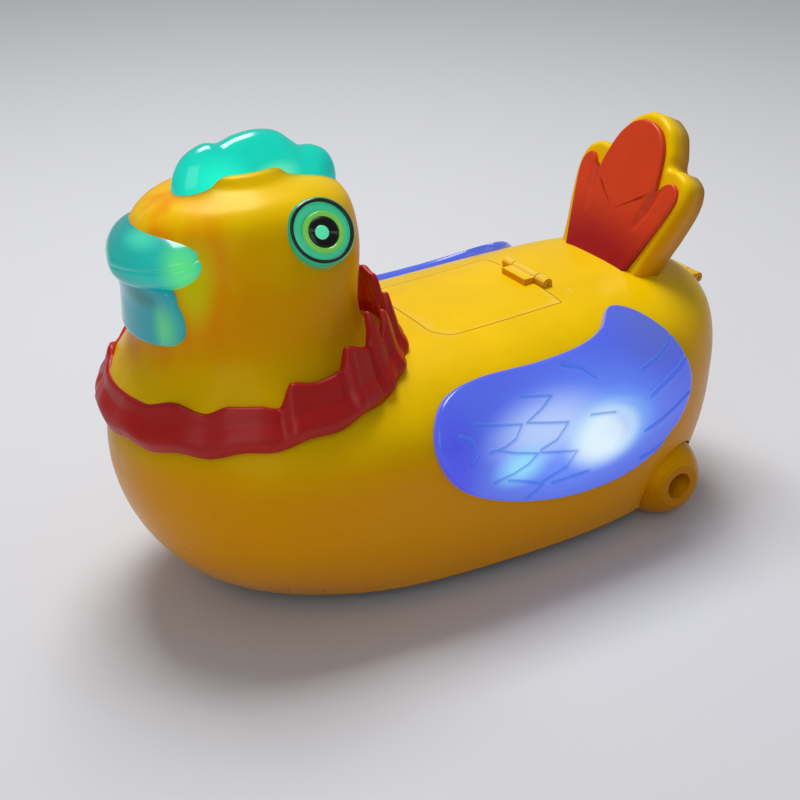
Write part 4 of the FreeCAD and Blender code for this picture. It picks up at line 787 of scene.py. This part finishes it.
WATTLE_OUTLINE = [(-17.5, 123.5), (0, 124.5), (17.5, 123.5), (19.8, 118), (21.0, 112), (20.4, 107),
                  (16.5, 103.8), (6, 102.6), (-6, 102.6), (-16.5, 103.8), (-20.4, 107), (-21.0, 112),
                  (-19.8, 118)]
WATTLE_CENTRE = (0, 113.5 * MM)
WATTLE_RIM = 2.2 * MM
WATTLE_THICKNESS = 1.0 * MM
WATTLE_LOWEST = 103
WATTLE_HEIGHT = 21
WATTLE_HALF_WIDTH = 21
WATTLE_CREASE = 14
HEAD_X = 68.8 * MM
THROAT = [(0.090, 0.0425), (0.097, 0.0395), (0.105, 0.0378), (0.113, 0.0378), (0.125, 0.0392)]


def throat_point(y, z, depth):
    """A spot on the front of the throat, moved out by a depth."""
    reach = blend_at(THROAT, z)
    turn = math.asin(max(-0.95, min(0.95, y / (reach * 0.97))))
    return Vector((HEAD_X + (reach + depth) * math.cos(turn), (reach * 0.97 + depth) * math.sin(turn), z))


def wattle_rise(y, z):
    """The wattle's front: fuller in the middle and low down, with a soft crease on each side."""
    low = (z / MM - WATTLE_LOWEST) / WATTLE_HEIGHT
    across = (y / MM) / WATTLE_HALF_WIDTH
    fullness = 0.9 * (1 - across ** 2) * (1 - 0.5 * low)
    crease = 0.5 * math.exp(-((abs(y) / MM - WATTLE_CREASE) / 1.2) ** 2) * (1 - low)
    return (2.1 + fullness - crease) * MM


wattle_mesh = pillow([(y * MM, z * MM) for y, z in WATTLE_OUTLINE], WATTLE_CENTRE, WATTLE_RIM,
                     WATTLE_THICKNESS, throat_point, wattle_rise, 160, 30)
wattle = finished("wattle_bib", wattle_mesh, wattle_material, "casing", ["wattle"])
print("beak and wattle:", len(beak.data.vertices), len(wattle.data.vertices))

# %% [markdown]
# ## The eyes
# Each eye is a stack of turned rings: a raised green body, a black outline, a mint iris, a raised
# yellow-green ring, a black pupil and a small mint highlight.
# %% eyes
EYE_AXIS = Vector((0.09, 0.83, 0.55)).normalized()
EYE_MIDDLE = Vector((55.9, 28.0, 135.5)) * MM
EYE_BODY = [(0, -5), (11.0, -5), (11.15, 2.4), (10.95, 3.2), (10.4, 3.75), (9.9, 3.85), (9.5, 3.6),
            (9.2, 3.1), (8.0, 2.9), (0, 2.9)]
EYE_OUTLINE = [(9.35, 3.0), (9.3, 3.75), (9.55, 4.0), (10.1, 4.05), (10.45, 3.8), (10.5, 3.0)]
EYE_IRIS = [(9.3, 2.8), (9.25, 3.2), (8.2, 3.35), (6.9, 3.4), (6.6, 3.0)]
EYE_RING = [(6.9, 2.9), (6.85, 3.6), (6.5, 4.0), (5.9, 4.1), (5.3, 3.9), (5.0, 3.4), (4.9, 2.9)]
EYE_PUPIL = [(5.2, 2.9), (5.1, 3.5), (4.6, 3.9), (3.4, 4.15), (1.8, 4.25), (0, 4.3)]
EYE_SPARK = [(2.3, 4.0), (2.25, 4.35), (1.9, 4.5), (1.0, 4.55), (0, 4.57)]


def eye_piece(name, profile, side, material, stands_for, shift=(0, 0)):
    """One turned ring of an eye; shift moves it across the eye's face, forward and up."""
    axis = Vector((EYE_AXIS.x, side * EYE_AXIS.y, EYE_AXIS.z))
    middle = Vector((EYE_MIDDLE.x, side * EYE_MIDDLE.y, EYE_MIDDLE.z))
    forward = (Vector((1, 0, 0)) - axis * axis.x).normalized()
    upward = axis.cross(forward) * (-1 if side > 0 else 1)
    if upward.z < 0:
        upward = -upward
    middle = middle + (forward * shift[0] + upward * shift[1]) * MM
    return finished(name, spun([(r * MM, h * MM) for r, h in profile], middle, axis), material, "casing",
                    stands_for)


for label, side in (("left", 1), ("right", -1)):
    eye_piece("eye_body_" + label, EYE_BODY, side, eye_material, ["eye_" + label])
    eye_piece("eye_outline_" + label, EYE_OUTLINE, side, made["black_plastic"], [])
    eye_piece("eye_iris_" + label, EYE_IRIS, side, mint_material, [])
    eye_piece("eye_ring_" + label, EYE_RING, side, lime_material, [], (-0.5, -0.5))
    eye_piece("eye_pupil_" + label, EYE_PUPIL, side, made["black_plastic"], ["pupil_" + label],
              (-0.5, -0.5))
    eye_piece("eye_spark_" + label, EYE_SPARK, side, spark_material, [], (0.4, -0.6))
print("eyes done")

# %% [markdown]
# ## The collar
# A ruff of moulded petals, low and wavy in front and tall behind.
# %% collar
COLLAR_RADIUS = 51.4
COLLAR_X = 67.5
COLLAR_FOOT = 78.6
COLLAR_TILT = 0.12
COLLAR_WALL = 2.3
EDGE_START = 0.42
EDGE_END = 0.58
EDGE_CROWN = 0.9
PETALS = [(0, 85.5), (18, 85.5), (33, 88.5), (45, 86.5), (55, 89.5), (66, 89.5), (74, 88), (79, 96),
          (90, 94.5), (102, 95.5), (105, 102.5), (121, 98.5), (123, 109.5), (131, 97), (137, 106), (146, 95),
          (152, 107), (160, 104), (168, 96), (174, 107), (180, 108.5)]
RIGHT_TIP = [(-44, 86.5), (-34, 89), (-28, 90.5), (-22, 88), (-14, 85.5)]


def petal_top(degrees):
    """Height of the ruff's edge at an angle from the front."""
    if RIGHT_TIP[0][0] < degrees < RIGHT_TIP[-1][0]:
        return blend_at(RIGHT_TIP, degrees)
    return blend_at(PETALS, abs(degrees))


def collar_point(u, v):
    """u round the ruff, v up its outside, over its edge and down its inside."""
    degrees = 360 * u - 180
    angle = math.radians(degrees)
    foot = COLLAR_FOOT - COLLAR_TILT * COLLAR_RADIUS * math.cos(angle)
    foot -= 0.7 * math.cos(15 * angle) + 0.6
    top = petal_top(degrees)
    turn = (v - EDGE_START) / (EDGE_END - EDGE_START) * math.pi
    crown = 0.0
    if v <= EDGE_START:
        share, inset = v / EDGE_START, 0.0
    elif v <= EDGE_END:
        share, inset = 1.0, COLLAR_WALL * (1 - math.cos(turn)) / 2
        crown = EDGE_CROWN * math.sin(turn)
    else:
        share, inset = 1 - (v - EDGE_END) / EDGE_START, COLLAR_WALL
    height = foot + (top - foot) * share + crown - EDGE_CROWN * min(1, share * 3)
    up = max(0.0, height - foot)
    lean = 1.3 * math.sin(math.pi * min(1.0, up / 9)) - 0.30 * max(0.0, up - 3)
    soft = (petal_top(degrees - 4) + petal_top(degrees + 4)) / 2
    puff = 0.25 * (top - soft) * min(1.0, up / 6)
    reach = COLLAR_RADIUS + lean - inset + max(-1.0, min(0.8, puff))
    return Vector((COLLAR_X + reach * math.cos(angle), reach * math.sin(angle), height)) * MM


collar = finished("collar_ruff", carried_grid(540, 50, collar_point), collar_material, "casing", ["collar"])
print("collar:", len(collar.data.vertices))

# %% [markdown]
# ## The tail
# A yellow fan that leans back, with a red front of three feathers in a recess of the same outline.
# %% tail
TAIL_LEAN = math.radians(25)
TAIL_ROOT = Vector((-79, 0, 91)) * MM
FAN_EDGE = [(21, -10), (23, -2), (25, 6), (28.5, 18), (30.6, 29), (29, 36.5), (23.5, 40), (17.5, 40.5),
            (15, 46), (10.5, 53), (4, 56.6), (0, 57)]
RED_EDGE = [(15.5, -9), (17.5, -1), (20.5, 7), (25, 20), (27.3, 28.5), (26.5, 33), (23.5, 35), (20.4, 33.4),
            (17.6, 29.2), (16.2, 31.5), (15.0, 37), (12.4, 45), (8, 50.5), (3.2, 52.8), (0, 53)]


def both_halves(half):
    """A closed outline out of its left half, given from the root to the top."""
    return [(a * MM, b * MM) for a, b in half] + [(-a * MM, b * MM) for a, b in half[-2::-1]]


def tail_point(start):
    """Carries the tail's own directions into place; start is how far its front stands behind the root."""
    along = Vector((-math.sin(TAIL_LEAN), 0, math.cos(TAIL_LEAN)))
    facing = Vector((math.cos(TAIL_LEAN), 0, math.sin(TAIL_LEAN)))

    def carry(a, b, depth):
        return TAIL_ROOT + Vector((0, a, 0)) + along * b + facing * (depth + start)

    return carry


def flat_rise(a, b):
    """A flat face."""
    return 0.0


RED_GROOVES = [[(17.8 * MM, 31 * MM), (16.4 * MM, 24 * MM), (14.0 * MM, 15 * MM)],
               [(-17.8 * MM, 31 * MM), (-16.4 * MM, 24 * MM), (-14.0 * MM, 15 * MM)]]


def red_rise(a, b):
    """The red front: full in the middle of each feather, with a groove between them."""
    gap = min(line_distance(a, b, line) for line in RED_GROOVES)
    fade = max(0.0, min(1.0, (b / MM - 12) / 10))
    return (1.4 * (1 - (a / (30 * MM)) ** 2) - 1.7 * math.exp(-(gap / (1.5 * MM)) ** 2) * fade) * MM


fan_mesh = pillow(both_halves(FAN_EDGE), (0, 20 * MM), 3.0 * MM, 9.6 * MM, tail_point(-0.2 * MM), flat_rise,
                  300, 24)
fan = finished("tail_fan_shell", fan_mesh, made["yellow_shell"], "casing", ["tail_fan"])
red_mesh = pillow(both_halves(RED_EDGE), (0, 18 * MM), 1.0 * MM, 1.5 * MM, tail_point(0.9 * MM), red_rise,
                  360, 70)
red_tail = finished("tail_red_front", red_mesh, tail_material, "casing", ["tail_feathers"])
print("tail:", len(fan.data.vertices), len(red_tail.data.vertices))

# %% [markdown]
# ## Floor, light and camera
# %% stage
floor_mesh = bmesh.new()
bmesh.ops.create_grid(floor_mesh, x_segments=1, y_segments=1, size=6)
floor_data = bpy.data.meshes.new("floor")
floor_mesh.to_mesh(floor_data)
floor_mesh.free()
floor = bpy.data.objects.new("floor", floor_data)
scene.collection.objects.link(floor)
floor_material = bpy.data.materials.new("floor_paint")
floor_material.use_nodes = True
floor_shader = floor_material.node_tree.nodes["Principled BSDF"]
floor_shader.inputs["Base Color"].default_value = linear((0.82, 0.82, 0.83))
floor_shader.inputs["Roughness"].default_value = 0.9
floor_shader.inputs["Specular IOR Level"].default_value = 0.1
floor_data.materials.append(floor_material)

world = bpy.data.worlds.new("studio")
scene.world = world
world.use_nodes = True
world.node_tree.nodes["Background"].inputs["Color"].default_value = (0.62, 0.64, 0.68, 1)
world.node_tree.nodes["Background"].inputs["Strength"].default_value = 0.42


def soft_light(name, place, target, size, watts, color=(1, 1, 1)):
    """A square area light that faces the target."""
    data = bpy.data.lights.new(name, "AREA")
    data.shape = "SQUARE"
    data.size = size
    data.energy = watts
    data.color = color
    lamp = bpy.data.objects.new(name, data)
    lamp.location = place
    lamp.rotation_euler = (Vector(target) - Vector(place)).to_track_quat("-Z", "Y").to_euler()
    scene.collection.objects.link(lamp)
    return lamp


TOY_MIDDLE = (0, 0, 0.06)
CAMERA_PLACE = (0.2833, 0.4433, 0.3148)
CAMERA_AIM = (0.0086, 0.0, 0.0529)
soft_light("key", (-0.05, -0.30, 0.95), TOY_MIDDLE, 0.45, 8.5)
soft_light("fill", (0.7, 0.8, 0.55), TOY_MIDDLE, 0.8, 2.6)

camera_data = bpy.data.cameras.new("camera")
camera = bpy.data.objects.new("camera", camera_data)
camera.location = CAMERA_PLACE
camera.rotation_euler = (Vector(CAMERA_AIM) - camera.location).to_track_quat("-Z", "Y").to_euler()
camera_data.lens = 72.5
camera_data.sensor_width = 36
camera_data.clip_start = 0.01
scene.collection.objects.link(camera)
scene.camera = camera
scene.view_settings.view_transform = "Standard"
print("camera", [round(v, 3) for v in camera.location])
